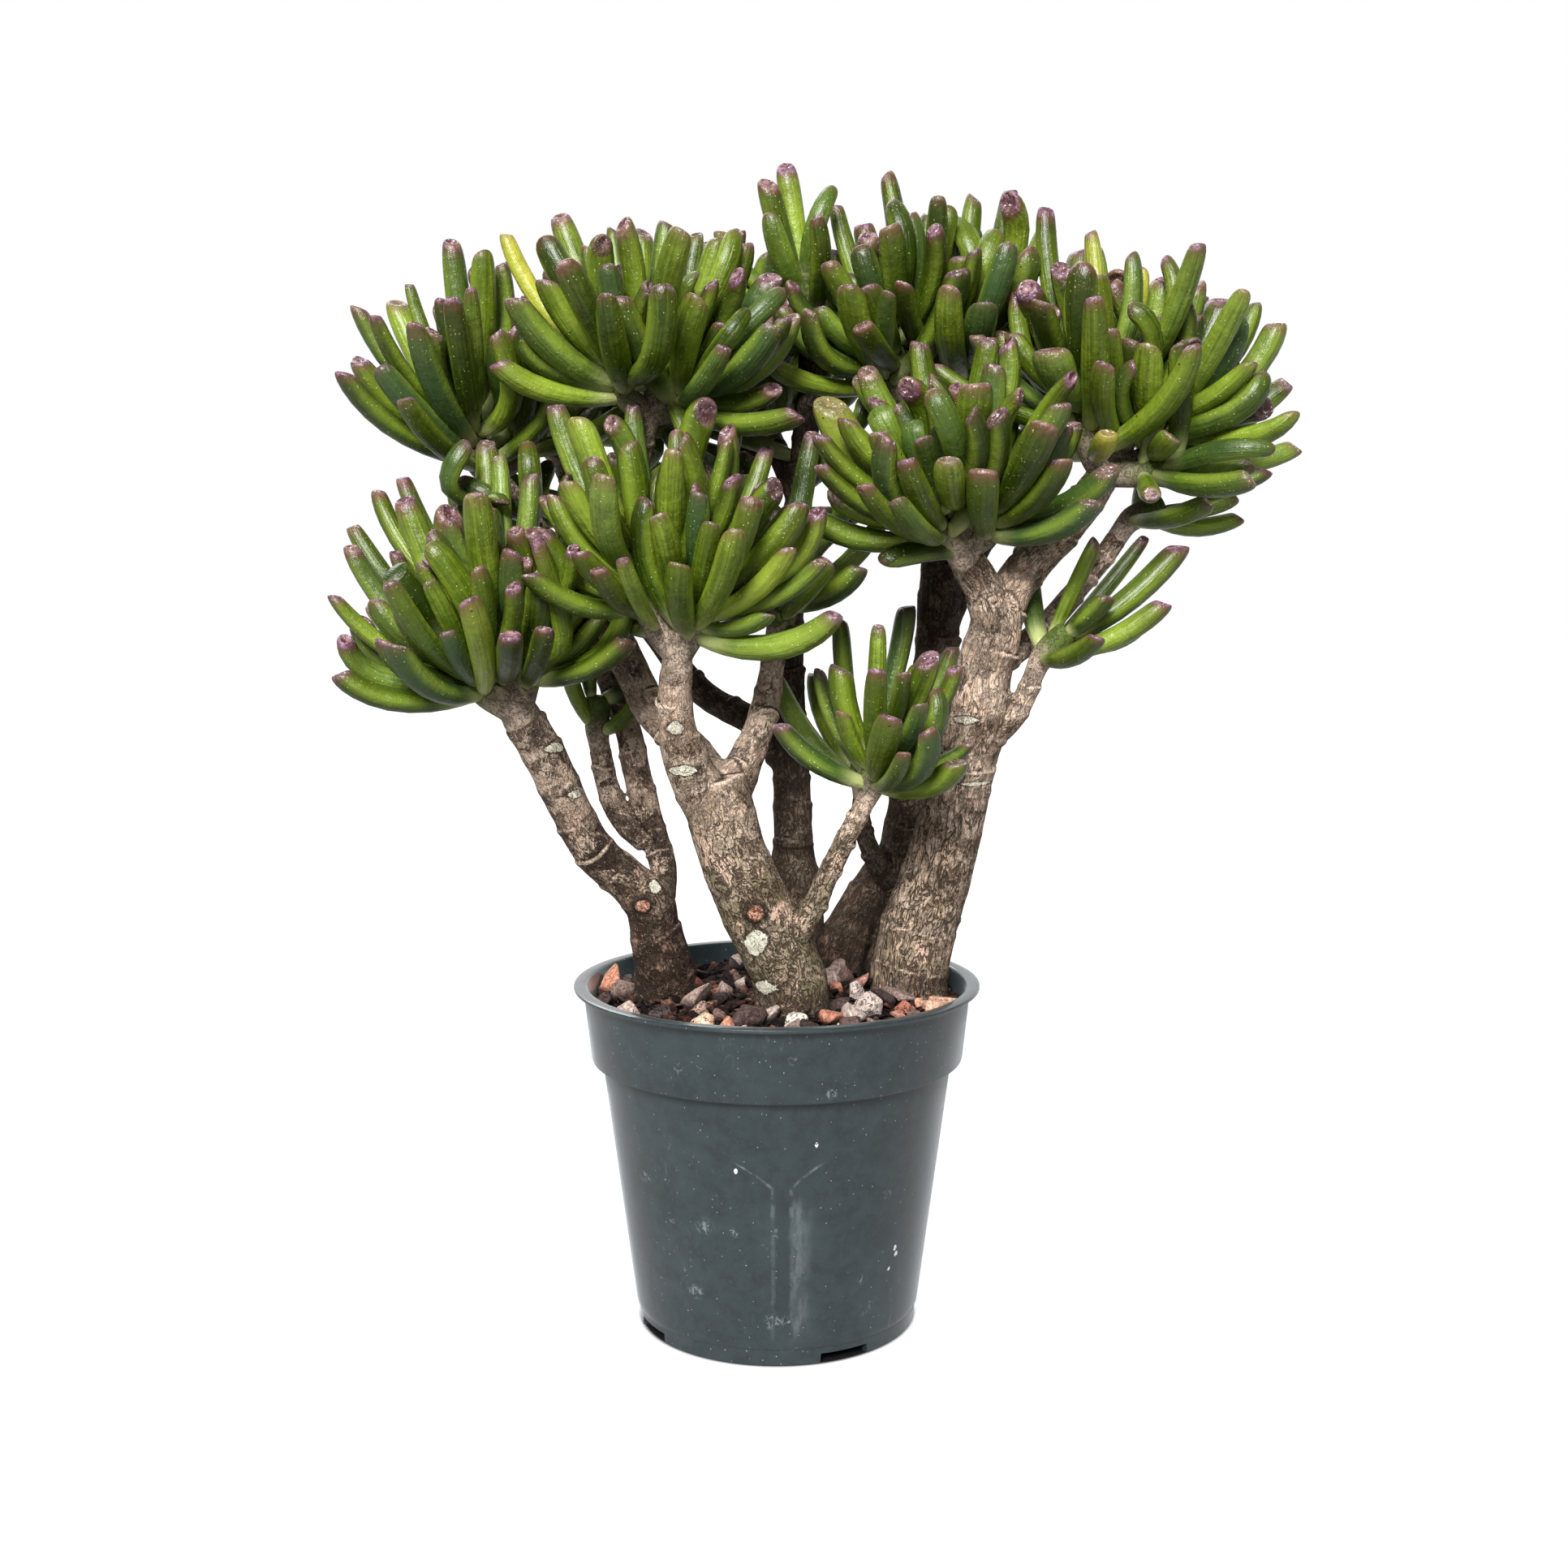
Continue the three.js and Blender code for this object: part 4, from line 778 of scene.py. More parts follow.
# Splashes and smudges on the front of the pot: (x, z, radius).
SPLASHES = [
    (0.0156, 0.0943, 0.0007), (-0.0159, 0.0832, 0.0008), (0.0479, 0.0432, 0.0007),
    (0.0484, 0.0403, 0.0007), (0.0454, 0.0349, 0.0005),
]
SMUDGES = [
    (-0.0526, 0.0729, 0.0036), (-0.0283, 0.0585, 0.0046), (-0.0166, 0.0571, 0.0026),
    (0.0336, 0.0342, 0.0030), (0.0441, 0.0682, 0.0026), (-0.0010, 0.0195, 0.0050),
    (0.0050, 0.0200, 0.0036), (-0.0415, 0.0574, 0.0016), (0.0211, 0.1162, 0.0030),
    (0.0064, 0.1305, 0.0026), (-0.0322, 0.0288, 0.0040),
]

DRAINS = 6
DRAIN_CIRCLE = 0.040
DRAIN_MIDDLE = 0.0055  # height of the middle of what cuts a drain
DRAIN_CUT = 0.006


def notch_share(angle):
    """1 within a drain notch of the foot, 0 outside."""
    turn = math.degrees(angle) + 90 - NOTCH_TURN
    off = abs((turn + 45) % 90 - 45)
    return min(1.0, max(0.0, (NOTCH_HALF + NOTCH_STEEP - off) / NOTCH_STEEP))


def pot_finish(settings):
    """Slate plastic with a soft gloss, dust, scuffs, splashes and the marks of dried water."""
    make = Finish("pot_plastic")
    place = make.place()
    x, z = place.part("X"), place.part("Z")
    front = 1 - place.part("Y").ramp(-0.03, 0.0)
    cloud = make.noise(place, 28, 4, 0.6)
    mottle = make.noise(place, 150, 5, 0.7)
    fine = make.noise(place, 700, 4, 0.7)
    dark, pale = scaled(settings.plastic, 0.62), scaled(settings.plastic, 1.45)
    tone = make.paint(
        dark,
        (mottle.ramp(0.30, 0.70), settings.plastic),
        (cloud.ramp(0.45, 0.75) * 0.6, pale),
        (fine.ramp(0.52, 0.75) * 0.5, pale),
    )
    # specks of dust, more of them on the collar
    extra = z.ramp(0.106, 0.116) * 0.10
    dust = 0.0
    for scale, size in ((340, 0.11), (560, 0.15)):
        chosen = (make.cells(place, scale, "Color").part("X") + extra).ramp(0.86, 0.93)
        dust = (1 - make.cells(place, scale).ramp(size * 0.4, size)) * chosen + dust
    # scuffs: short strokes across a few soft fields, and a scraped lower edge of the collar
    stroke = make.noise(place * (1.0, 1.0, 0.4), 260, 5, 0.75, 1.6)
    field = make.noise(place, 30, 2, 0.5)
    scraped = make.noise(place, 36, 2, 0.5).ramp(0.5, 0.62)
    edge = (1 - (z - COLLAR_EDGE).absolute().ramp(0.0003, 0.0016)) * scraped
    scuff = stroke.ramp(0.56, 0.72) * field.ramp(0.57, 0.66).higher(edge * 1.5).lower(1.0)
    # dried water: two lines, a pale band inside the right one, and a clean strip between them
    wobble = (make.noise(place, 60, 3, 0.6) - 0.5) * 0.0016
    above = ((z - WATER_TOP) * (1 / WATER_REACH)).higher(0.0)
    crest = z.ramp(WATER_TOP + WATER_REACH * 0.75, WATER_TOP + WATER_REACH)
    fade = z.ramp(0.008, 0.020) * (1 - crest) * front
    grain = make.noise(place * (1.0, 1.0, 0.25), 300, 4, 0.7)
    lines = 0.0
    for low, high in WATER_LINES:
        off = (x + wobble - above ** 1.35 * (high - low) - low).absolute()
        worn = 0.35 + 0.5 * grain.ramp(0.35, 0.65)
        lines = (1 - off.ramp(0.0002, 0.0013)) * fade * worn + lines
    broken = make.noise(place, 110, 3, 0.7).ramp(0.36, 0.60)
    lines = lines * (0.35 + 0.65 * z.ramp(0.060, WATER_TOP)) * broken
    right = x - WATER_LINES[1][0]
    band = right.ramp(-0.0005, 0.0015) * (1 - right.ramp(0.002, 0.010))
    band = band * (1 - z.ramp(0.066, WATER_TOP)) * fade
    strip = (x + 0.0008).ramp(0.0, 0.001) * (1 - (x - 0.0048).ramp(0.0, 0.001))
    strip = strip * (1 - z.ramp(0.070, WATER_TOP)) * fade
    water = lines * 0.34 + band * (0.04 + 0.11 * grain.ramp(0.40, 0.62))

    def spots(places, seen, inner, tall=1.0):
        """Soft round spots on the front of the pot."""
        total = 0.0
        for across, height, size in places:
            off = seen.distance((across, 0.0, height * tall))
            total = (1 - off.ramp(size * inner, size)) * front + total
        return total

    torn = make.noise(place * (1.0, 1.0, 0.7), 480, 4, 0.75, 1.2).ramp(0.50, 0.60)
    smudge = spots(SMUDGES, place * (1.0, 0.0, 1.0), 0.3) * torn
    splash = spots(SPLASHES, place * (1.0, 0.0, 0.6) + (fine - 0.5) * 0.0026, 0.7, 0.6)
    marks = dust.lower(0.55).higher(scuff * 0.20).higher(water).higher(smudge * 0.32)
    shown = make.paint(
        tone,
        (strip * 0.5, dark),
        (marks.lower(1.0), settings.dust),
        (splash.lower(0.85), (0.75, 0.78, 0.78)),
    )
    height = make.noise(place, 60, 2, 0.4) * 0.5 + fine * 0.08 + mottle * 0.12 + marks * 0.1
    return make.close(
        Base_Color=shown, Roughness=0.27 + cloud.ramp(0.3, 0.8) * 0.10 + marks.lower(1.0) * 0.30,
        Normal=make.bump(height, 0.0004, 0.5), IOR=1.5, Specular_IOR_Level=0.5, Coat_Weight=0.45,
        Coat_Roughness=0.08, Sheen_Weight=0.3, Sheen_Roughness=0.25, Sheen_Tint=(0.85, 0.92, 1.0),
    )


class JADE_OT_pot(bpy.types.Operator):
    """Makes the nursery pot: rim, collar, tapering body and the foot with its drain notches"""

    bl_idname = "jade.pot"
    bl_label = "Pot"

    def execute(self, context):
        settings = context.scene.jade_pot
        tall, wide = settings.height / DRAWN_HEIGHT, settings.rim_radius / DRAWN_RADIUS
        angles = {round(angle, 6) for angle in round_turn(settings.facets)}
        for middle in range(0, 360, 90):
            for off in (NOTCH_HALF, NOTCH_HALF + NOTCH_STEEP):
                for edge in (-off, off):
                    angle = math.radians(NOTCH_TURN + middle + edge)
                    angles.add(round(angle % (2 * math.pi), 6))

        def shape(ring, angle, radius, z):
            if ring in FOOT_RINGS and z < settings.notch_height:
                z += (settings.notch_height - z) * notch_share(angle)
            return radius, z

        outline = [(r * MM * wide, z * MM * tall) for r, z in POT_OUTLINE]
        pot = new_object("nursery_pot", turned_mesh("nursery_pot", outline, sorted(angles), shape))
        self.cut_drains(pot, settings.drain_radius)
        shade(pot, pot_finish(settings), 42)
        settle_piece(pot, "pot_plastic", "pot")
        return {"FINISHED"}

    def cut_drains(self, pot, radius):
        """Cuts the drain holes through the floor."""
        body = bmesh.new()
        for angle in round_turn(DRAINS):
            middle = (DRAIN_CIRCLE * math.cos(angle), DRAIN_CIRCLE * math.sin(angle), DRAIN_MIDDLE)
            bmesh.ops.create_cone(
                body, cap_ends=True, segments=24, radius1=radius, radius2=radius, depth=DRAIN_CUT,
                matrix=Matrix.Translation(middle),
            )
        cutter = new_object("drains", mesh_of("drains", body))
        cut = pot.modifiers.new("drains", "BOOLEAN")
        cut.operation = "DIFFERENCE"
        cut.solver = "EXACT"
        cut.object = cutter
        apply_all(pot)
        bpy.data.objects.remove(cutter)


# ---- soil, grit and stones ----

SOIL_EDGE = 135 * MM
SOIL_MIDDLE = 141 * MM
SOIL_SHOULDER = 66 * MM
SOIL_FLAT = 30 * MM
SOIL_RADIUS = 78.2 * MM
SOIL_OUTLINE = [(0, 6.9), (56, 6.9), (57.9, 8.4), (71.5, 114.6), (75.7, 114.8), (76.2, 118)]
SOIL_RINGS = 34
SOIL_SIDES = 96
CRUMB_ROWS = 64
SCATTER_RINGS = 30
SCATTER_SIDES = 72
SCATTER_MARGIN = 0.0022


def soil_height(radius):
    rise = (SOIL_SHOULDER - radius) / (SOIL_SHOULDER - SOIL_FLAT)
    return SOIL_EDGE + (SOIL_MIDDLE - SOIL_EDGE) * min(1.0, max(0.0, rise))


def soil_outline():
    """The soil's body, then rings over its surface to the middle."""
    surface = [SOIL_RADIUS * (1 - k / SOIL_RINGS) for k in range(SOIL_RINGS)]
    return [
        *((r * MM, z * MM) for r, z in SOIL_OUTLINE),
        *((radius, soil_height(radius)) for radius in surface), (0, SOIL_MIDDLE),
    ]


def peat_finish(settings):
    """Damp peat, nearly black, with brown flecks."""
    make = Finish("damp_peat")
    place = make.place()
    crumb = make.noise(place, 260, 5, 0.7)
    fleck = make.cells(place, 520, "Color").part("X")
    tone = make.palette(fleck, [
        (0.0, settings.peat), (0.6, (0.035, 0.022, 0.017)), (0.86, (0.085, 0.045, 0.030)),
        (1.0, (0.19, 0.12, 0.08)),
    ])
    return make.close(
        Base_Color=make.blend(crumb.ramp(0.35, 0.6), scaled(settings.peat, 0.35), tone),
        Roughness=0.78 + crumb * 0.2, Normal=make.bump(crumb + fleck * 0.4, 0.0009),
        Specular_IOR_Level=0.1,
    )


def grit_finish(name, stops, porous, hollow):
    """Broken bark or lava, each piece in its own tone of the stops, with darker pits."""
    make = Finish(name)
    place = make.place()
    grain = make.noise(place, 700, 4, 0.7)
    own = make.palette(make.read("tone"), stops)
    dark = make.blend(1.0, own, (hollow, hollow * 0.9, hollow * 0.86), "MULTIPLY")
    holes = (1 - make.cells(place, 900).ramp(0.10, 0.36)) * porous
    # what lies low between the other pieces is painted nearly black: painted shade
    out = (place * (1.0, 1.0, 0.0)).distance((0.0, 0.0, 0.0)).ramp(SOIL_FLAT, SOIL_SHOULDER)
    level = place.part("Z") - (1 - out) * (SOIL_MIDDLE - SOIL_EDGE)
    sunk_shade = 1 - level.ramp(SOIL_EDGE + 0.0002, SOIL_EDGE + 0.0046)
    shown = make.paint(
        dark,
        (grain.ramp(0.40, 0.62), own),
        (grain.ramp(0.60, 0.80) * 0.7, make.blend(0.35, own, (0.75, 0.68, 0.62))),
        (holes, dark),
        (sunk_shade * 0.92, (0.005, 0.003, 0.003)),
    )
    return make.close(
        Base_Color=shown, Roughness=0.82 + grain * 0.15,
        Normal=make.bump(grain * 0.6 - holes, 0.0007), Specular_IOR_Level=0.12,
    )


BARK_TONES = [
    (0.0, (0.006, 0.004, 0.004)), (0.34, (0.020, 0.012, 0.010)), (0.52, (0.085, 0.030, 0.022)),
    (0.68, (0.22, 0.074, 0.050)), (0.80, (0.10, 0.066, 0.058)), (0.92, (0.32, 0.15, 0.100)),
    (1.0, (0.58, 0.36, 0.24)),
]
LAVA_TONES = [
    (0.0, (0.040, 0.030, 0.030)), (0.20, (0.090, 0.062, 0.058)), (0.36, (0.20, 0.125, 0.105)),
    (0.50, (0.34, 0.25, 0.22)), (0.62, (0.48, 0.37, 0.32)), (0.72, (0.68, 0.57, 0.50)),
    (0.80, (0.42, 0.17, 0.115)), (0.90, (0.66, 0.32, 0.21)), (1.0, (0.74, 0.50, 0.36)),
]


def grit_tree():
    """Scatters small pieces over a surface. Where its attribute open is 0, nothing lies."""
    make = Growth("Scattered grit", [
        ("Shapes", "Collection", None), ("Spacing", "Float", 0.0033), ("Size", "Float", 0.003),
        ("Lie", "Float", 0.5), ("Seed", "Int", 1), ("Material", "Material", None),
    ])
    given = make.inputs
    points = make.add(
        "GeometryNodeDistributePointsOnFaces", {"distribute_method": "POISSON"}, {
            "Mesh": given["Geometry"], "Distance Min": given["Spacing"], "Density Max": 400000.0,
            "Density Factor": make.read("open"), "Seed": given["Seed"],
        },
    )
    shapes = make.add("GeometryNodeCollectionInfo", {}, {
        "Collection": given["Shapes"], "Separate Children": True, "Reset Children": True,
    })

    def chance(low, high, shift, kind="FLOAT"):
        bottom, top, output = {"FLOAT": (2, 3, 1), "INT": (4, 5, 2)}[kind]
        values = {bottom: low, top: high, "Seed": given["Seed"] + shift}
        return make.add("FunctionNodeRandomValue", {"data_type": kind}, values, output)

    euler = make.add("ShaderNodeCombineXYZ", {}, {
        0: given["Lie"] * chance(-1.0, 1.0, 1.0), 1: given["Lie"] * chance(-1.0, 1.0, 2.0),
        2: chance(0.0, 6.283, 3.0),
    })
    pieces = make.add("GeometryNodeInstanceOnPoints", {}, {
        "Points": points, "Instance": shapes, "Pick Instance": True,
        "Rotation": make.add("FunctionNodeEulerToRotation", {}, {0: euler}),
        "Instance Index": chance(0, 20, 5.0, "INT"),
        "Scale": given["Size"] * (0.55 + 1.0 * chance(0.0, 1.0, 4.0) ** 1.6),
    })
    toned = {"Geometry": pieces, "Name": "tone", "Value": chance(0.0, 1.0, 6.0)}
    kind = {"data_type": "FLOAT", "domain": "INSTANCE"}
    toned = make.add("GeometryNodeStoreNamedAttribute", kind, toned)
    return make.finish(toned, given["Material"])


def rough_shape(name, seed, scale, corners):
    """A small broken stone or chip, about 2 across: the hull of a few corners, with worn edges."""
    random = seeded(seed)
    body = bmesh.new()
    for _ in range(corners):
        way = Vector([next(random) - 0.5 for _ in range(3)]).normalized()
        way *= 0.85 + 0.30 * next(random)
        body.verts.new(Vector(a * b for a, b in zip(way, scale)))
    bmesh.ops.convex_hull(body, input=body.verts)
    loose = [vertex for vertex in body.verts if not vertex.link_faces]
    bmesh.ops.delete(body, geom=loose, context="VERTS")
    bmesh.ops.dissolve_limit(body, angle_limit=0.35, verts=body.verts, edges=body.edges)
    bmesh.ops.bevel(
        body, geom=body.edges, offset=0.07, segments=1, affect="EDGES", clamp_overlap=True
    )
    bmesh.ops.triangulate(body, faces=body.faces)
    bmesh.ops.recalc_face_normals(body, faces=body.faces)
    return new_object(name, mesh_of(name, body))


def scatter_surface(name, openness):
    """A copy of the soil's surface that only says where grit may lie."""
    points, faces, n = [], [], SCATTER_SIDES
    for ring in range(SCATTER_RINGS + 1):
        radius = (SOIL_RADIUS - SCATTER_MARGIN) * ring / SCATTER_RINGS + 1e-5
        for angle in round_turn(n):
            points.append((radius * math.cos(angle), radius * math.sin(angle), soil_height(radius)))
    for first in range(0, SCATTER_RINGS * n, n):
        for k in range(n):
            m = (k + 1) % n
            faces.append((first + k, first + n + k, first + n + m, first + m))
    mesh = new_mesh(name, points, faces=faces)
    store(mesh, "open", [openness(x, y) for x, y, _ in points])
    return new_object(name, mesh)


def keep_in_pot(mesh, lift):
    """Lifts grit a little, and moves what would stand in the pot's wall back inside it."""
    places = places_of(mesh)
    places[:, 2] += lift
    reach = np.hypot(places[:, 0], places[:, 1])
    places[:, :2] *= (np.minimum(reach, SOIL_RADIUS) / np.maximum(reach, 1e-6))[:, None]
    mesh.vertices.foreach_set("co", places.ravel())
    mesh.update()


def clear_of_trunks(x, y, room):
    """1 where a place is further than room, in millimetres, from every trunk, and else 0."""
    feet = [limbs[0][0] for limbs in PLANTS.values()]
    return float(all(
        math.hypot(x / MM - foot[0], y / MM - foot[1]) >= foot[3] + room for foot in feet
    ))


def clear_of_stones(x, y, room, boxes):
    """1 where a place is further than room, in millimetres, from every stone, and else 0."""
    for low, high in boxes:
        middle, reach = (low + high) / 2, (high - low) / 4
        if math.hypot(x - middle.x, y - middle.y) < reach.x + reach.y + room * MM:
            return 0.0
    return 1.0


class JADE_OT_soil(bpy.types.Operator):
    """Makes the body of soil that fills the pot, with its crumbly surface"""

    bl_idname = "jade.soil"
    bl_label = "Soil"

    def execute(self, context):
        settings = context.scene.jade_soil
        random = seeded(3)
        crumbs = [[next(random) for _ in range(SOIL_SIDES)] for _ in range(CRUMB_ROWS)]

        def shape(ring, angle, radius, z):
            if ring >= len(SOIL_OUTLINE):
                side = round(angle / (2 * math.pi) * SOIL_SIDES) % SOIL_SIDES
                z += settings.relief * (crumbs[ring % CRUMB_ROWS][side] - 0.75)
            return radius, z

        mesh = turned_mesh("potting_soil", soil_outline(), round_turn(SOIL_SIDES), shape)
        soil = new_object("potting_soil", mesh)
        shade(soil, peat_finish(settings))
        settle_piece(soil, "soil", "soil")
        return {"FINISHED"}


class JADE_OT_grit(bpy.types.Operator):
    """Scatters bark chips and small lava stones over the soil"""

    bl_idname = "jade.grit"
    bl_label = "Grit"

    def execute(self, context):
        settings = context.scene.jade_soil
        tree = grit_tree()
        chip_scales = [(1.2, 0.85, 0.42) if k % 3 else (1.6, 0.6, 0.30) for k in range(7)]
        chips = self.shelf("chip", chip_scales, 40, 37, 11)
        lava = self.shelf("lava", [(1.35, 1.05, 0.85)] * 8, 60, 41, 15)
        boxes = [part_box(f"stone_{serial}") for serial in range(1, len(STONE_TONES) + 1)]

        def chips_lie(x, y):
            return clear_of_trunks(x, y, 0.5)

        def gravel_lies(x, y):
            # most of it lies in front and to the right
            room = clear_of_trunks(x, y, 3.5) * clear_of_stones(x, y, 2.5, boxes)
            bias = 0.25 + 0.75 * min(1.0, max(0.0, (x / MM + 40) / 70))
            return room * bias * (1.0 if y < 0.02 else 0.5)

        self.scatter(tree, "bark_grit", chips_lie, 0.0, 30, "soil", {
            "Shapes": chips, "Spacing": settings.grit_room, "Size": settings.grit_size,
            "Lie": 0.75, "Seed": settings.seed,
            "Material": grit_finish("bark_chips", BARK_TONES, 0.2, 0.28),
        })
        self.scatter(tree, "lava_gravel", gravel_lies, 0.0016, 28, "stone_grey", {
            "Shapes": lava, "Spacing": settings.gravel_room, "Size": settings.gravel_size,
            "Lie": 1.2, "Seed": settings.seed + 20,
            "Material": grit_finish("lava_stones", LAVA_TONES, 0.55, 0.50),
        })
        for shelf in (chips, lava):
            for shape in list(shelf.objects):
                bpy.data.objects.remove(shape)
            bpy.data.collections.remove(shelf)
        return {"FINISHED"}

    def shelf(self, name, scales, seed, step, corners):
        """A collection of rough shapes outside the scene, one for each scale."""
        shelf = bpy.data.collections.new(name + "_shapes")
        for k, scale in enumerate(scales):
            shape = rough_shape(f"{name}_shape_{k}", seed + step * k, scale, corners)
            bpy.context.scene.collection.objects.unlink(shape)
            shelf.objects.link(shape)
        return shelf

    def scatter(self, tree, name, openness, lift, sharp, slot, values):
        piece = scatter_surface(name, openness)
        tree.grow(piece, values)
        keep_in_pot(piece.data, lift)
        piece.data.set_sharp_from_angle(angle=math.radians(sharp))
        settle_piece(piece, slot)


# The tone of each of the larger stones, and the tones themselves.
STONE_TONES = [
    "tan", "brown", "pale", "pale", "grey", "grey", "rust", "tan", "grey", "dark", "brown", "dark",
]
TONES = {
    "tan": (0.86, 0.56, 0.40), "pale": (0.78, 0.68, 0.58), "grey": (0.56, 0.45, 0.40),
    "brown": (0.48, 0.31, 0.245), "rust": (0.46, 0.170, 0.115), "dark": (0.085, 0.065, 0.060),
}
STONE_FACETS = 5  # cuts of each edge of a stone's solid
STONE_JAGS = 0.22
STONE_GRAIN = 0.00018
BREAKS = 11  # flat breaks in each stone
BREAK_LEAST, BREAK_MORE = 0.10, 0.20  # their depth over the stone's reach
BREAK_FLATNESS = 0.97


def stone_finish(name, tone):
    """Rough lava: pores, pale grains and a dusty bloom over the stone's own colour."""
    make = Finish(name)
    place = make.place()
    grain = make.noise(place, 480, 5, 0.72)
    patch = make.noise(place, 150, 3, 0.6)
    pores = 1 - make.cells(place, 560).ramp(0.12, 0.38)
    crack = 1 - (make.noise(place, 190, 3, 0.6, 1.0) - 0.5).absolute().ramp(0.003, 0.018)
    bloom = [min(0.9, part * 1.3 + 0.05) for part in tone]
    shown = make.paint(
        scaled(tone, 0.66),
        (patch.ramp(0.40, 0.50), tone),
        (grain.ramp(0.54, 0.74) * 0.75, bloom),
        (pores * grain.ramp(0.40, 0.60) * 0.8, scaled(tone, 0.16)),
        (crack * 0.7, scaled(tone, 0.14)),
    )
    height = grain + patch * 1.2 - pores * 0.9 - crack * 1.2
    return make.close(
        Base_Color=shown, Roughness=0.86 + grain * 0.12, Normal=make.bump(height, 0.0011),
        Specular_IOR_Level=0.15,
    )


class JADE_OT_stones(bpy.types.Operator):
    """Makes the twelve larger lava stones from their solids, broken up and pitted"""

    bl_idname = "jade.stones"
    bl_label = "Stones"

    def execute(self, context):
        slots = {row["node"]: row["material_slot"] for row in frame["record"]["subparts"]}
        finishes = {name: stone_finish("lava_" + name, tone) for name, tone in TONES.items()}
        for serial, tone in enumerate(STONE_TONES):
            name = f"stone_{serial + 1}"
            stone = self.broken_up(name, serial)
            shade(stone, finishes[tone], 24)
            settle_piece(stone, slots[name], name)
        return {"FINISHED"}

    def broken_up(self, name, serial):
        """A finer, jagged copy of the stone's solid, with flat breaks in its upper side."""
        random = seeded(90 + serial)
        body = bmesh.new()
        body.from_mesh(frame["nodes"][name].data)
        bmesh.ops.remove_doubles(body, verts=body.verts, dist=1e-6)
        bmesh.ops.dissolve_limit(body, angle_limit=0.02, verts=body.verts, edges=body.edges)
        bmesh.ops.triangulate(body, faces=body.faces)
        bmesh.ops.subdivide_edges(
            body, edges=body.edges, cuts=STONE_FACETS, use_grid_fill=True, smooth=0.0,
            fractal=STONE_JAGS, seed=serial,
        )
        middle = sum((vertex.co for vertex in body.verts), Vector()) / len(body.verts)
        reach = max((vertex.co - middle).length for vertex in body.verts)
        for _ in range(BREAKS):
            way = (next(random) - 0.5, next(random) - 0.5, next(random) * 0.7 - 0.1)
            cut = Vector(way).normalized()
            far = max((vertex.co - middle).dot(cut) for vertex in body.verts)
            depth = far - reach * (BREAK_LEAST + BREAK_MORE * next(random))
            for vertex in body.verts:
                over = (vertex.co - middle).dot(cut) - depth
                if over > 0:
                    vertex.co -= cut * over * BREAK_FLATNESS
        for vertex in body.verts:
            vertex.co += Vector([next(random) - 0.5 for _ in range(3)]) * STONE_GRAIN
        body.normal_update()
        return new_object("lava_" + name, mesh_of("lava_" + name, body))


# ---- stems ----

# Lengths on the stems are in millimetres.
SAMPLE = 1.5  # distance between the points of a stem's path
NODE_SPACING = (9.0, 22.0)  # least and greatest distance between old leaf joints
BURIED = 127.0  # height at which the trunks start, within the soil
FOOT_FLARE = 1.04  # a trunk's radius within the soil over the one just above it
THICK = 11.5  # radius from which a stem counts as a trunk
JOINT_SWELL = 0.07  # how much a stem swells up to an old joint
NECK_SWELL = 0.03  # what is left of that just above it
NECK_FADE = 9
TRUNK_SWELL = 0.4  # a trunk's share of this
JOINT_WIDTH, LIP_WIDTH, LIP_DROP = 0.55, 0.75, 1.25
KNOB_RISE = 0.0017  # in metres
MARK_REACH = 2.5  # how near to a mark's middle its front is looked for
LIMB_SHIFT = 400.0  # moves the bark's pattern along from one limb to the next
SKIN_BLOCK = 4000  # points of the skin that are worked out at a time

# Marks on the front of the bark: (plant, x, z, half width, half height, kind). A patch is bare and
# pale, and a knob stands out with a reddish scar.
MARKS = [
    ("centre", -8.3, 168.2, 5.2, 6.4, "patch"), ("centre", -8.3, 180.6, 4.4, 4.4, "knob"),
    ("centre", -4.8, 149.1, 5.0, 3.6, "patch"), ("centre", -39.3, 254.0, 4.2, 2.6, "patch"),
    ("centre", -36.6, 237.1, 6.6, 2.0, "patch"), ("centre", -12.5, 262.0, 2.0, 2.0, "patch"),
    ("right", 82.0, 228.1, 8.5, 0.9, "patch"), ("right", 76.7, 254.7, 5.0, 1.8, "patch"),
    ("right", 95.0, 167.0, 3.0, 1.0, "patch"), ("left", -54.9, 178.9, 4.2, 3.6, "knob"),
    ("left", -50.0, 186.0, 3.2, 3.2, "patch"), ("left", -88.0, 245.0, 5.0, 2.0, "patch"),
    ("left", -81.0, 226.0, 3.4, 1.8, "patch"), ("right", 122.0, 339.0, 4.2, 3.0, "knob"),
]
MARK_CODES = {"patch": 0.0, "knob": 1.0}
MARK_POWERS = {"patch": 1.35, "knob": 2.0}
NO_MARK = 9.0

# How far a plant's bark lies in painted shade (below 0, in painted light), how dark its foot is,
# how green it is, how far its furrows run along it, how pale its cracks are, and how many dark
# blotches it has, partly the bark's own and partly painted shade.
BARK_LOOKS = {
    "left": (0.30, 1.0, 0.2, 0.15, 0.9, 0.92), "centre": (-0.02, 0.0, 0.8, 0.1, 0.5, 0.25),
    "right": (-0.24, 0.15, 0.3, 0.68, 0.35, 0.45), "back": (0.88, 0.7, 0.1, 0.4, 0.0, 0.6),
    "back_right": (0.84, 0.7, 0.2, 0.5, 0.0, 0.6),
}

# How strongly a plant's old leaf joints show on its thick trunk and on its thin limbs.
RINGED = {
    "left": (0.36, 0.6), "centre": (0.22, 0.8), "right": (0.37, 0.8), "back": (0.75, 0.8),
    "back_right": (0.6, 0.8),
}

# The swollen feet of the two plants at the back.
FEET = {
    "back": rows_of("9 32 127 13.6, 8 33 158 13.2, 7 33 181 11.8, 7 34 196 9"),
    "back_right": rows_of("24 34 127 12.5, 29 34 153 11, 37 36 170 9.2, 49 40 190 7"),
}


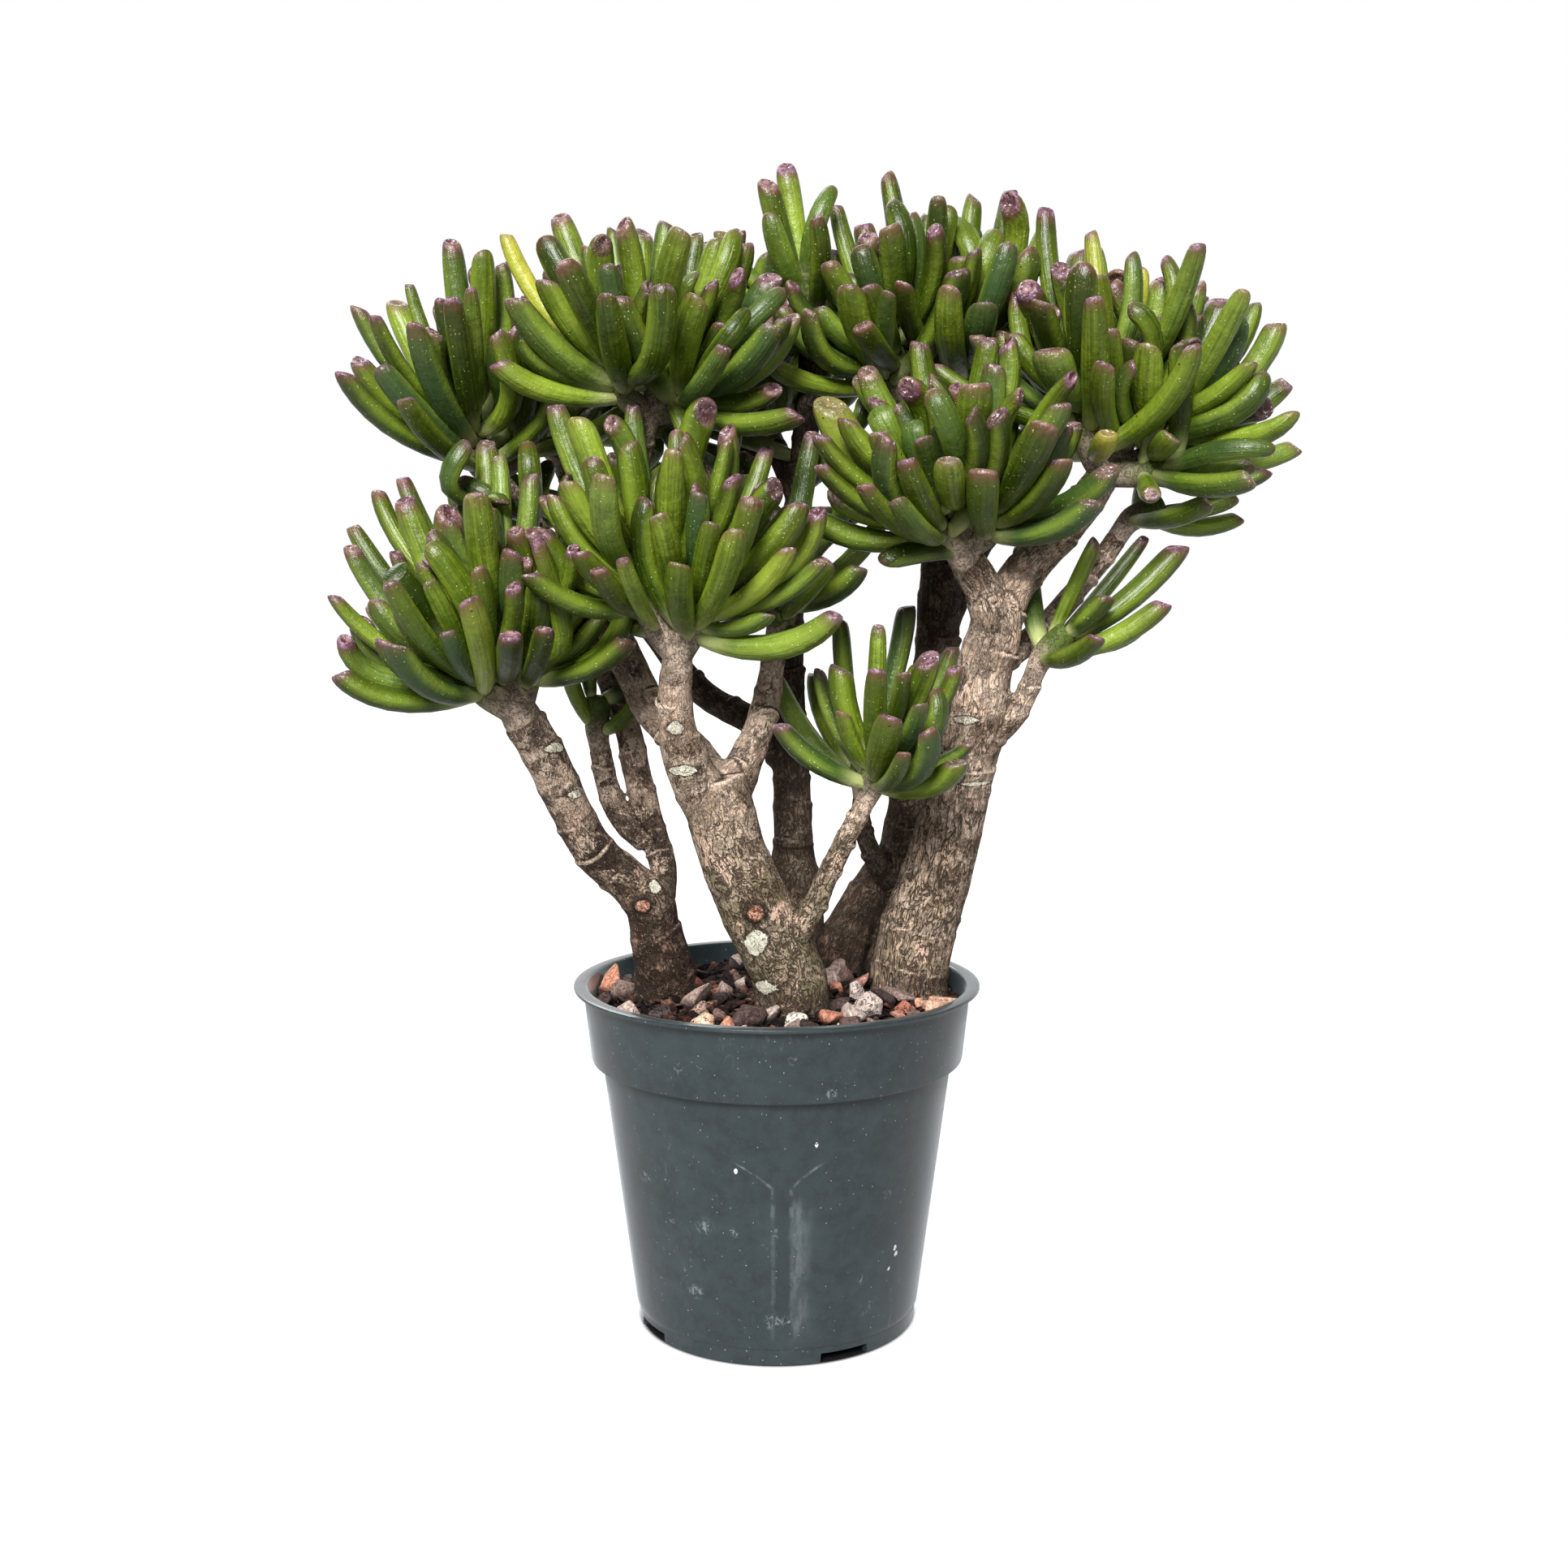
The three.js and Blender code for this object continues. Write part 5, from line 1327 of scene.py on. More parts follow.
def smooth_path(rows, step=SAMPLE):
    """Even points and radii along a centripetal Catmull-Rom curve through rows of x y z radius."""
    rows = np.asarray(rows, float)
    before, after = 2 * rows[0, :3] - rows[1, :3], 2 * rows[-1, :3] - rows[-2, :3]
    knots = np.vstack([before, rows[:, :3], after])
    places, radii = [], []
    for k in range(len(rows) - 1):
        p0, p1, p2, p3 = knots[k : k + 4]
        pairs = ((p0, p1), (p1, p2), (p2, p3))
        g0, g1, g2 = (max(1e-4, float(np.sum((b - a) ** 2)) ** 0.25) for a, b in pairs)
        out = (p1 - p0) / g0 - (p2 - p0) / (g0 + g1) + (p2 - p1) / g1
        back = (p2 - p1) / g1 - (p3 - p1) / (g1 + g2) + (p3 - p2) / g2
        out, back = out * g1, back * g1
        steps = max(2, int(np.linalg.norm(p2 - p1) * 2))
        for t in np.linspace(0, 1, steps, endpoint=k == len(rows) - 2):
            cubic = (2 * p1 - 2 * p2 + out + back) * t**3
            cubic = cubic + (3 * p2 - 3 * p1 - 2 * out - back) * t**2
            places.append(cubic + out * t + p1)
            radii.append(rows[k, 3] + (rows[k + 1, 3] - rows[k, 3]) * t)
    places, radii = np.array(places), np.array(radii)
    run = np.concatenate([[0], np.cumsum(np.linalg.norm(np.diff(places, axis=0), axis=1))])
    even = np.linspace(0, run[-1], max(3, int(run[-1] / step) + 1))
    columns = [np.interp(even, run, column) for column in (*places.T, radii)]
    return np.column_stack(columns[:3]), columns[3], even


def node_heights(total, seed):
    """Where the old leaf joints are along a stem."""
    random = seeded(seed)
    heights, at = [], 6.0 + 8 * next(random)
    least, greatest = NODE_SPACING
    while at < total:
        heights.append(at)
        at += least + (greatest - least) * next(random)
    return np.array(heights or [total])


def swollen(radii, run, heights):
    """A stem swells towards each joint, and draws in just above it."""
    last = len(heights) - 1
    behind = np.searchsorted(heights, run, side="right")
    start = np.where(behind > 0, heights[np.clip(behind - 1, 0, last)], run[0] - 8)
    stop = np.where(behind <= last, heights[np.clip(behind, 0, last)], start + 16)
    part = np.clip((run - start) / np.maximum(stop - start, 1), 0, 1)
    swell = JOINT_SWELL * part**2 + NECK_SWELL * np.exp(-part * NECK_FADE) - JOINT_SWELL / 2
    return radii * (1 + swell * np.where(radii > THICK, TRUNK_SWELL, 1.0))


def path_frames(places):
    """A path's direction and two ways across it at each point, which turn as little as they can."""
    along = np.gradient(places, axis=0)
    along /= np.linalg.norm(along, axis=1)[:, None]
    across = unit(np.cross(along[0], [0.0, 1.0, 0.0]))
    normals = []
    for direction in along:
        across = unit(across - direction * across.dot(direction))
        normals.append(across)
    return along, np.array(normals), np.cross(along, normals)


def path_mesh(name, paths):
    """Edges along each path, with its radius kept in the attribute girth, in metres."""
    points, edges, girths = [], [], []
    for places, radii in paths:
        first = len(points)
        points += [tuple(p * MM) for p in places]
        girths += list(radii * MM)
        edges += [(first + k, first + k + 1) for k in range(len(places) - 1)]
    mesh = new_mesh(name, points, edges)
    store(mesh, "girth", girths)
    return mesh


def tubes_of(make, edges, sides):
    """Adds the nodes that turn edges into closed round tubes of the radius girth."""
    lines = make.add("GeometryNodeMeshToCurve", {}, {0: edges})
    sockets = {"Resolution": sides, "Radius": 1.0}
    ring = make.add("GeometryNodeCurvePrimitiveCircle", {}, sockets)
    return make.add("GeometryNodeCurveToMesh", {}, {
        "Curve": lines, "Profile Curve": ring, "Scale": make.read("girth"), "Fill Caps": True,
    })


def tube_tree():
    """Turns edges into closed round tubes whose radius is the attribute girth."""
    make = Growth("Round stems", [("Sides", "Int", 16), ("Material", "Material", None)])
    given = make.inputs
    return make.finish(tubes_of(make, given["Geometry"], given["Sides"]), given["Material"])


def relief_tree():
    """Pushes a skin along its normals by the attribute lift and by the net of the bark."""
    make = Growth("Bark relief", [("Relief", "Float", 0.0004), ("Material", "Material", None)])
    given = make.inputs
    straight = make.read("bark", True)
    net = make.noise(straight * (1.0, 1.0, 0.45), 520, 2, 0.5, 0.6)
    wave = make.noise(straight, 70, 2, 0.5)
    push = make.read("lift") + given["Relief"] * ((net - 0.5) * 1.3 + (wave - 0.5) * 1.8)
    sockets = {"Geometry": given["Geometry"], "Offset": make.add("GeometryNodeInputNormal") * push}
    return make.finish(make.add("GeometryNodeSetPosition", {}, sockets), given["Material"])


def bark_finish(name, settings, shaded, foot_darkness, moss, grooved, crackled, blotched):
    """Brown-grey bark in a fine net of furrows, with pale scars and dark joints.

    What its six shares say stands at BARK_LOOKS.
    """
    make = Finish(name)
    place = make.place()
    straight = make.read("bark", True)
    joint, lip, mark, kind = (make.read(key) for key in ("joint", "lip", "mark", "kind"))
    high = place.part("Z")
    # furrows are the level lines of a noise, drawn out along the stem
    drawn = straight * (1.0, 1.0, 0.62 - 0.38 * grooved)
    field = make.noise(drawn, 350, 2, 0.55, 0.9)
    net = 1 - (field - 0.5).absolute().ramp(0.010, 0.062)
    fine = 1 - (make.noise(drawn, 760, 2, 0.5, 0.7) - 0.5).absolute().ramp(0.004, 0.055)
    patch = make.noise(place, 55, 4, 0.68)
    band = make.noise(straight * (0.25, 0.25, 1.0), 75, 3, 0.6)
    blot = make.noise(place, 120, 4, 0.7)
    grain = make.noise(straight, 900, 4, 0.7)
    # the bark's tones carry its painted shade, or painted light where shaded is below 0
    light = scaled(settings.bark_light, 1 - 0.80 * shaded)
    pink, warm = scaled(light, 1.08, 1.0, 0.97), scaled(light, 0.40, 0.355, 0.32)
    # damp, dark blotches, partly the bark's own and partly painted shade, moss on the lower trunk,
    # and a foot that is darker towards the bottom and darker just above the soil
    dark_blotches_and_shade = (1 - make.noise(place, 75, 5, 0.70, 0.5).ramp(0.485, 0.515)) * blotched
    damp = make.blend(blot.ramp(0.45, 0.60), (0.024, 0.015, 0.011), (0.105, 0.068, 0.048))
    low = (1 - high.ramp(0.165, 0.235)) * moss
    mossy = (low * make.noise(place, 120, 3, 0.65).ramp(0.34, 0.58)).lower(0.9)
    darker_foot = (1 - (high + (patch - 0.5) * 0.12).ramp(0.160, 0.205)) * foot_darkness
    darker_foot = darker_foot.higher((1 - (high + (blot - 0.5) * 0.016).ramp(0.1435, 0.1500)) * 0.75)
    darker_foot_tone = make.blend(blot.ramp(0.48, 0.62), (0.026, 0.015, 0.010), (0.19, 0.115, 0.08))
    # flakes where the bark came off, the furrows, and the joints with their lips
    flakes = make.cells(place + (field - 0.5) * 0.004, 100, "Color").part("X").ramp(0.88, 0.90)
    pale = (high.ramp(0.205, 0.235) * blot.ramp(0.40, 0.55) * crackled).lower(1.0)
    furrow = make.blend(pale, settings.bark_dark, scaled(settings.bark_light, 1.35))
    tone = make.paint(
        warm,
        (patch.ramp(0.42, 0.47), light),
        (patch.ramp(0.56, 0.60) * 0.8, scaled(light, 0.27, 0.28, 0.26)),
        (blot.ramp(0.56, 0.60) * 0.8, pink),
        ((1 - blot.ramp(0.39, 0.43)) * 0.75, warm),
        ((1 - band.ramp(0.44, 0.48)) * 0.55, warm),
        (band.ramp(0.54, 0.62) * 0.45, light),
        (dark_blotches_and_shade, damp),
        (mossy, settings.bark_green),
        (darker_foot, darker_foot_tone),
        (flakes * 0.8 * (1 - darker_foot), pink),
        ((net * (0.92 - 0.35 * pale)).higher(fine * 0.60 * (1 - pale)), furrow),
        (grain.ramp(0.55, 0.70) * 0.5 * (1 - net), scaled(light, 1.35)),
        (lip.ramp(0.20, 0.7) * (1 - darker_foot) * (0.85 - 0.6 * shaded), scaled(light, 1.45)),
        (joint.ramp(0.20, 0.7) * 0.9, scaled(settings.bark_dark, 0.35)),
    )
    # bare patches, and knobs with a reddish heart and a dark hollow
    ragged = mark + (make.noise(place, 210, 3, 0.6) - 0.5) * 1.3 + (grain - 0.5) * 0.3
    inside = 1 - ragged.ramp(0.90, 0.97)
    rim = (1 - ragged.ramp(1.0, 1.45)) * (1 - inside)
    bare = make.paint(
        settings.scar,
        (blot.ramp(0.40, 0.60), scaled(settings.scar, 0.7)),
        (fine * grain.ramp(0.5, 0.7), warm),
    )
    heart = make.paint(
        (0.16, 0.055, 0.035),
        (make.noise(place, 700, 3, 0.7).ramp(0.42, 0.58), (0.64, 0.36, 0.25)),
        (mark.ramp(0.50, 0.80), scaled(settings.bark_dark, 0.5)),
    )
    tone = make.paint(
        tone,
        (rim * 0.75, scaled(settings.bark_dark, 0.6)),
        (inside, make.blend(kind.ramp(0.3, 0.7), bare, heart)),
    )
    height = (1 - net) * 0.9 + (1 - fine) * 0.4 + grain * 0.4 - joint * 0.6 + lip * 0.5
    height = height + inside * 0.4 + blot * 0.6
    return make.close(
        Base_Color=tone, Roughness=0.72 + grain * 0.2, Normal=make.bump(height, 0.0009),
        Specular_IOR_Level=0.15,
    )


def bell(gap, width):
    return np.exp(-((gap / width) ** 2))


class JADE_OT_stems(bpy.types.Operator):
    """Makes the five woody plants: their limbs are fused into one skin with its bark"""

    bl_idname = "jade.stems"
    bl_label = "Stems"

    def execute(self, context):
        settings = context.scene.jade_stems
        tube, relief = tube_tree(), relief_tree()
        for serial, (plant, limbs) in enumerate(PLANTS.items()):
            seeds = [100 * serial + 7 * k for k in range(len(limbs))]
            runs = [self.limb_run(*pair, k == 0) for k, pair in enumerate(zip(limbs, seeds))]
            if plant in FEET:
                runs.append(self.limb_run(FEET[plant], 100 * serial + 91))
            paths = path_mesh("stem_" + plant, [run[:2] for run in runs])
            skin = new_object("wood_" + plant, paths)
            tube.grow(skin, {"Sides": settings.sides})
            self.fuse(skin, settings.skin)
            self.mark_skin(skin, plant, runs, settings)
            finish = bark_finish("bark_stem_" + plant, settings, *BARK_LOOKS[plant])
            relief.grow(skin, {"Relief": settings.relief, "Material": finish})
            settle_piece(skin, "bark", "stem_" + plant)
        return {"FINISHED"}

    def limb_run(self, rows, seed, trunk=False):
        """Points, swollen radii, distances and joints of one limb. A trunk starts in the soil."""
        if trunk:
            x, y, _, radius = rows[0]
            foot = [[x, y, BURIED, radius * FOOT_FLARE], [x, y, SOIL_MIDDLE / MM + 3, radius]]
            rows = [*foot, *rows[1:]]
        places, radii, run = smooth_path(rows)
        joints = node_heights(run[-1], seed + 3)
        return places, swollen(radii, run, joints), run, joints

    def fuse(self, skin, size):
        """Joins the tubes into one skin and smooths their forks."""
        remesh = skin.modifiers.new("skin", "REMESH")
        remesh.mode = "VOXEL"
        remesh.voxel_size = size
        smooth = skin.modifiers.new("forks", "SMOOTH")
        smooth.factor = 0.5
        smooth.iterations = 5
        apply_all(skin)

    def mark_skin(self, skin, plant, runs, settings):
        """Keeps for each point where it lies on its limb, how near a joint it is, and its marks."""
        places = places_of(skin.data) / MM
        parts = [
            (p, r, s, *path_frames(p), np.full(len(p), k)) for k, (p, r, s, _) in enumerate(runs)
        ]
        centre, radius, run, along, first, second, limb = map(np.concatenate, zip(*parts))
        near = np.concatenate([
            np.argmin(np.linalg.norm(block[:, None] - centre, axis=2) - radius, axis=1)
            for block in np.array_split(places, len(places) // SKIN_BLOCK + 1)
        ])
        off = places - centre[near]
        far = run[near] + dots(off, along[near])
        straight = np.column_stack([
            dots(off, first[near]), dots(off, second[near]), far + LIMB_SHIFT * limb[near],
        ])
        around = np.arctan2(straight[:, 1], straight[:, 0])
        joint, lip, ridge = (np.zeros(len(places)) for _ in range(3))
        random = seeded(len(places) % 1000 + 7)
        for number, (_, radii, distances, joints) in enumerate(runs):
            on = limb[near] == number
            for height in joints:
                # each joint has its own strength, slope and start, and fades out round the stem
                strength, slope = 0.45 + 0.85 * next(random), 1.8 * next(random)
                start = 6.3 * next(random)
                thin = np.interp(height, distances, radii) < THICK
                strength *= RINGED[plant][int(thin)]
                bend = slope * np.sin(around[on] + start)
                bend = bend + 0.45 * np.sin(around[on] * 3 + 2 * start)
                arc = strength * (0.60 + 0.55 * np.cos(around[on] - 1.7 * start))
                arc = np.clip(arc + 0.12 * np.sin(around[on] * 7 + start), 0, 1)
                gap = far[on] + bend - height
                joint[on] = np.maximum(joint[on], arc * bell(gap, JOINT_WIDTH))
                lip[on] = np.maximum(lip[on], arc * bell(gap + LIP_DROP, LIP_WIDTH))
                ridge[on] += arc * (bell(gap + 1.7, 1.4) - 0.8 * bell(gap, 0.75))
        lift = ridge * settings.ridge
        mark, kind = self.read_marks(plant, places, lift)
        kept = {
            "bark": straight * MM, "joint": joint, "lip": lip, "mark": mark, "kind": kind,
            "lift": lift,
        }
        for name, values in kept.items():
            store(skin.data, name, values)

    def read_marks(self, plant, places, lift):
        """How far each point is from a mark, and the mark's kind. Knobs add to the lift."""
        mark, kind = np.full(len(places), NO_MARK), np.zeros(len(places))
        for owner, x, z, wide, tall, sort in MARKS:
            if owner != plant:
                continue
            across, up = abs(places[:, 0] - x), abs(places[:, 2] - z)
            front = places[(across < MARK_REACH) & (up < MARK_REACH), 1]
            if not len(front):
                continue
            power = MARK_POWERS[sort]
            gap = ((across / wide) ** power + (up / tall) ** power) ** (1 / power)
            gap += np.clip((places[:, 1] - front.min()) / wide - 1.0, 0, None)
            kind[gap < mark] = MARK_CODES[sort]
            mark = np.minimum(mark, gap)
            if sort == "knob":
                lift += KNOB_RISE * (bell(gap, 1.0) - 0.9 * bell(gap, 0.5))
        return mark, kind


# ---- leaves ----

# Lengths on the leaves are in millimetres.
LONGEST_LEAF = 72.0
LEAF_SPREAD = 0.25
LEAF_SAG = 0.14
LEAF_BEND = 0.45  # how far along a leaf its middle bend is
NAMED_WEIGHT = 0.25  # how far a named leaf gives way
GOLDEN_TURN = 2.39996
LEAN_LEAST, LEAN_MORE, LEAN_CHANCE = 6, 66, 10  # degrees off the shoot
SIZE_LEAST, SIZE_MORE = 0.78, 0.26  # over the shoot's usual leaf
RADIUS_LEAST, RADIUS_MORE = 4.5, 1.3
TIP_RISE = 0.12  # how much a tip rises for each step outwards
CROWN_SHARE = 0.85  # the share of a leaf that stands above its shoot
INNER_SPREAD = 0.74  # how far inner leaves lean, over the others
ROOT_OFFSET = 2.4
SETTLE_ROUNDS = 140
LOOK_EVERY = 5  # rounds after which the leaves look again for what is near them
LEAF_LOOK = 32.0
STEM_LOOK = 42.0
LEAF_PUSH = 0.3
STEM_PUSH = 0.5
CLEAR_OWN = 0.4
CLEAR_OTHER = 1.2
CLEAR_STEM = 1.0
SAMPLES = np.array([0.05, 0.15, 0.28, 0.44, 0.62, 0.8, 0.98])
POST_SPACING = 6
SHOOT_RADIUS = 4.6
HEART_RADIUS = 6.6
FORK_RISE = 5.0
SHORTEST_SHOOT = 14.0

# The box that the tips of the leaves stay in.
INNER_ROOM = ((-171, -87, 141), (207, 143, 481))

# Rings round a leaf: (place along it, radius over its own, how far it belongs to the dished tip).
# The last is the tip's middle.
LEAF_RINGS = [
    (0.0, 0.52, 0), (0.07, 0.72, 0), (0.26, 0.94, 0), (0.55, 1.08, 0), (0.82, 1.07, 0),
    (0.94, 0.98, 0.1), (0.988, 0.80, 0.55), (1.0, 0.56, 1), (0.980, 0.38, 1), (0.972, 0, 1),
]
LEAF_SIDES = 8


def shoot_of(row):
    base, size = np.array(row[:3], float), row[7]
    reach = np.array(row[3:6], float) - base
    return {
        "base": base, "axis": unit(reach), "count": int(row[6]), "leaf": size,
        "length": max(SHORTEST_SHOOT, float(np.linalg.norm(reach)) - CROWN_SHARE * size),
    }


def outward(shoot, direction):
    return direction - shoot["axis"] * direction.dot(shoot["axis"])


def sagging(chord):
    """How a leaf's middle hangs, for a leaf of that chord."""
    size = np.linalg.norm(chord)
    return (chord * (chord[2] / size**2) - [0.0, 0.0, 1.0]) * LEAF_SAG * size


def leaves_by_rule(shoot, random, spread=1.0):
    """Leaves in a spiral round a shoot: upright in the middle, leaning further out and lower."""
    up = unit(np.cross(shoot["axis"], [1.0, 0.0, 0.0]))
    side = unit(np.cross(up, shoot["axis"]))
    leaves = []
    for k in range(shoot["count"]):
        outer = math.sqrt((k + 0.5) / shoot["count"])
        lean = LEAN_LEAST + LEAN_MORE * outer * spread + LEAN_CHANCE * (next(random) - 0.5)
        lean = math.radians(lean)
        turn = GOLDEN_TURN * k + 0.5 * (next(random) - 0.5)
        size = shoot["leaf"] * (SIZE_LEAST + SIZE_MORE * next(random))
        rise = shoot["length"] * (1 - outer) + size * math.cos(lean)
        out = size * math.sin(lean)
        tip = shoot["base"] + shoot["axis"] * rise
        tip = tip + side * out * math.cos(turn) + up * out * math.sin(turn)
        tip[2] += TIP_RISE * out
        radius = RADIUS_LEAST + RADIUS_MORE * next(random)
        leaves.append({"tip": tip, "radius": radius, "weight": 1.0})
    return leaves


def root_leaves(shoot, leaves):
    """Gives each leaf its root: the widest leaning leaf at the foot, the most upright on top."""
    base, axis = shoot["base"], shoot["axis"]
    angles = [
        math.acos(np.clip(unit(leaf["tip"] - base).dot(axis), -1, 1)) for leaf in leaves
    ]
    for rank, index in enumerate(sorted(range(len(leaves)), key=lambda k: angles[k])):
        leaf = leaves[index]
        offset = unit(outward(shoot, leaf["tip"] - base)) * ROOT_OFFSET
        height = shoot["length"] * (1 - rank / max(1, len(leaves) - 1))
        excess = np.linalg.norm(leaf["tip"] - (base + axis * height + offset)) - LONGEST_LEAF
        height = min(shoot["length"], height + max(0.0, 1.5 * excess))
        root = base + axis * height + offset
        chord = leaf["tip"] - root
        bend = root + chord * LEAF_BEND + outward(shoot, chord) * LEAF_SPREAD + sagging(chord)
        leaf.update(
            shoot=shoot, offset=offset, height=height, root=root, control=bend,
            length=np.linalg.norm(chord),
        )


def grow_leaves():
    """Every leaf of every spray, before the leaves settle."""
    grown = []
    for name, spray in SPRAYS.items():
        random = seeded(spray["seed"])
        for serial, row in enumerate(spray["shoots"]):
            shoot = shoot_of(row)
            named = [
                {
                    "tip": np.array(leaf[1:4], float), "radius": leaf[4], "weight": NAMED_WEIGHT,
                    "number": number,
                }
                for number, leaf in enumerate(spray["leaves"]) if leaf[0] == serial
            ]
            leaves = named + leaves_by_rule(shoot, random)
            root_leaves(shoot, leaves)
            grown += [{**leaf, "spray": name} for leaf in leaves]
    return grown


def stem_posts():
    """Balls along every limb, which the leaves keep clear of."""
    posts = []
    for limb in sum(PLANTS.values(), []):
        for start, stop in zip(np.array(limb), np.array(limb[1:])):
            parts = max(1, math.ceil(np.linalg.norm(stop[:3] - start[:3]) / POST_SPACING))
            posts += [start + (stop - start) * (k + 0.5) / parts for k in range(parts)]
    return np.array([post for post in posts if post[2] > SOIL_MIDDLE / MM])


def near_pairs(first, second, room):
    """Index pairs of points that are closer than room."""
    gap = (first**2).sum(1)[:, None] + (second**2).sum(1)[None] - 2 * first @ second.T
    return np.nonzero(gap < room**2)


def push_of(gap, room, share, weight):
    """Which gaps are shorter than their room, and the pushes that widen those."""
    away = np.linalg.norm(gap, axis=1)
    hit = (away < room) & (away > 1e-6)
    force = share * (room[hit] - away[hit]) / (away[hit] * weight[hit])
    return hit, gap[hit] * force[:, None]


def settle_leaves(leaves, fixed=0):
    """Crowded leaves push each other and the stems aside, keeping their roots and lengths.

    The first of them, as many as fixed says, stay where they are.
    """
    posts = stem_posts()
    shares = np.column_stack([(1 - SAMPLES) ** 2, 2 * SAMPLES * (1 - SAMPLES), SAMPLES**2])
    names = list(SPRAYS)
    keys = ("root", "control", "tip", "offset", "height", "length", "radius", "weight")
    now = {key: np.array([leaf[key] for leaf in leaves]) for key in keys}
    base, axis, limit = (
        np.array([leaf["shoot"][key] for leaf in leaves]) for key in ("base", "axis", "length")
    )
    owner = np.array([names.index(leaf["spray"]) for leaf in leaves])
    n, m = len(leaves), len(SAMPLES)
    girth = (now["radius"][:, None] * np.minimum(1.05, 0.45 + 1.2 * SAMPLES)[None]).ravel()
    leaf_of = np.repeat(np.arange(n), m)
    weight = now["weight"][leaf_of]
    lever = np.tile(shares, (n, 1)) * np.column_stack([np.ones(n * m), weight, weight])
    lever[leaf_of < fixed] = 0
    for turn in range(SETTLE_ROUNDS):
        bones = np.stack([now["root"], now["control"], now["tip"]], axis=1)
        balls = np.einsum("sk,nkx->nsx", shares, bones).reshape(-1, 3)
        if turn % LOOK_EVERY == 0:
            a, b = near_pairs(balls, balls, LEAF_LOOK)
            keep = (a < b) & (leaf_of[a] != leaf_of[b])
            a, b = a[keep], b[keep]
            same = owner[leaf_of[a]] == owner[leaf_of[b]]
            room = girth[a] + girth[b] + np.where(same, CLEAR_OWN, CLEAR_OTHER)
            c, d = near_pairs(balls, posts[:, :3], STEM_LOOK)
            stem_room = girth[c] + posts[d, 3] + CLEAR_STEM
        pushes = np.zeros((n, 3, 3))

        def shove(hit, push):
            np.add.at(pushes, leaf_of[hit], lever[hit][:, :, None] * push[:, None])

        hit, push = push_of(balls[a] - balls[b], room, LEAF_PUSH, np.ones(len(a)))
        shove(a[hit], push)
        shove(b[hit], -push)
        hit, push = push_of(balls[c] - posts[d, :3], stem_room, STEM_PUSH, weight[c])
        shove(c[hit], push)
        height = now["height"] + dots(pushes[:, 0], axis)
        now["height"] = np.minimum(limit, np.maximum(0.0, height))
        now["root"] = base + axis * now["height"][:, None] + now["offset"]
        now["control"] = now["control"] + pushes[:, 1]
        reach = now["tip"] + pushes[:, 2] - now["root"]
        reach = reach * (now["length"] / np.linalg.norm(reach, axis=1))[:, None]
        now["tip"] = now["root"] + reach
    for index, leaf in enumerate(leaves[fixed:], fixed):
        leaf.update({key: now[key][index] for key in ("root", "control", "tip")})
    return leaves


def within(place):
    low, high = INNER_ROOM
    return all(a < b < c for a, b, c in zip(low, place, high))


def inner_leaves():
    """More leaves in the heart of every shoot, a little shorter than those around them."""
    grown = []
    for name, spray in SPRAYS.items():
        random = seeded(spray["seed"] + 500)
        for serial, row in enumerate(spray["shoots"]):
            own = sum(leaf[0] == serial for leaf in spray["leaves"])
            shoot = shoot_of(row)
            shoot["count"] = round((own + row[6]) * spray["inner"])
            shoot["leaf"] = row[7] * (0.88 + 0.12 * next(random))
            inner = leaves_by_rule(shoot, random, INNER_SPREAD)
            leaves = [leaf for leaf in inner if within(leaf["tip"])]
            for leaf in leaves:
                leaf["radius"] *= 0.9 + 0.2 * next(random)
            root_leaves(shoot, leaves)
            grown += [{**leaf, "spray": name, "inner": True} for leaf in leaves]
        grown += [{**sprout(row), "spray": name, "inner": True} for row in spray["sprouts"]]
    return grown


def sprout(row):
    """A leaf that grows straight from the wood below a spray."""
    root, tip = np.array(row[:3], float), np.array(row[3:6], float)
    chord = tip - root
    size = np.linalg.norm(chord)
    return {
        "root": root, "tip": tip, "control": root + chord * LEAF_BEND + sagging(chord),
        "length": size, "radius": row[6], "weight": 1.0, "offset": np.zeros(3), "height": 0.0,
        "shoot": {"base": root, "axis": chord / size, "length": 0.0},
    }


def leaf_cage():
    """One straight leaf of radius and length 1, of a few dozen faces, which keeps its places."""
    outline = [(0, 0), *((radius, along) for along, radius, _ in LEAF_RINGS)]
    mesh = turned_mesh("leaf_cage", outline, round_turn(LEAF_SIDES))
    store(mesh, "section", places_of(mesh))
    dish = [row[2] for row in LEAF_RINGS[:-1] for _ in range(LEAF_SIDES)]
    store(mesh, "dish", [0.0, *dish, 1.0])
    return new_object("leaf_cage", mesh)


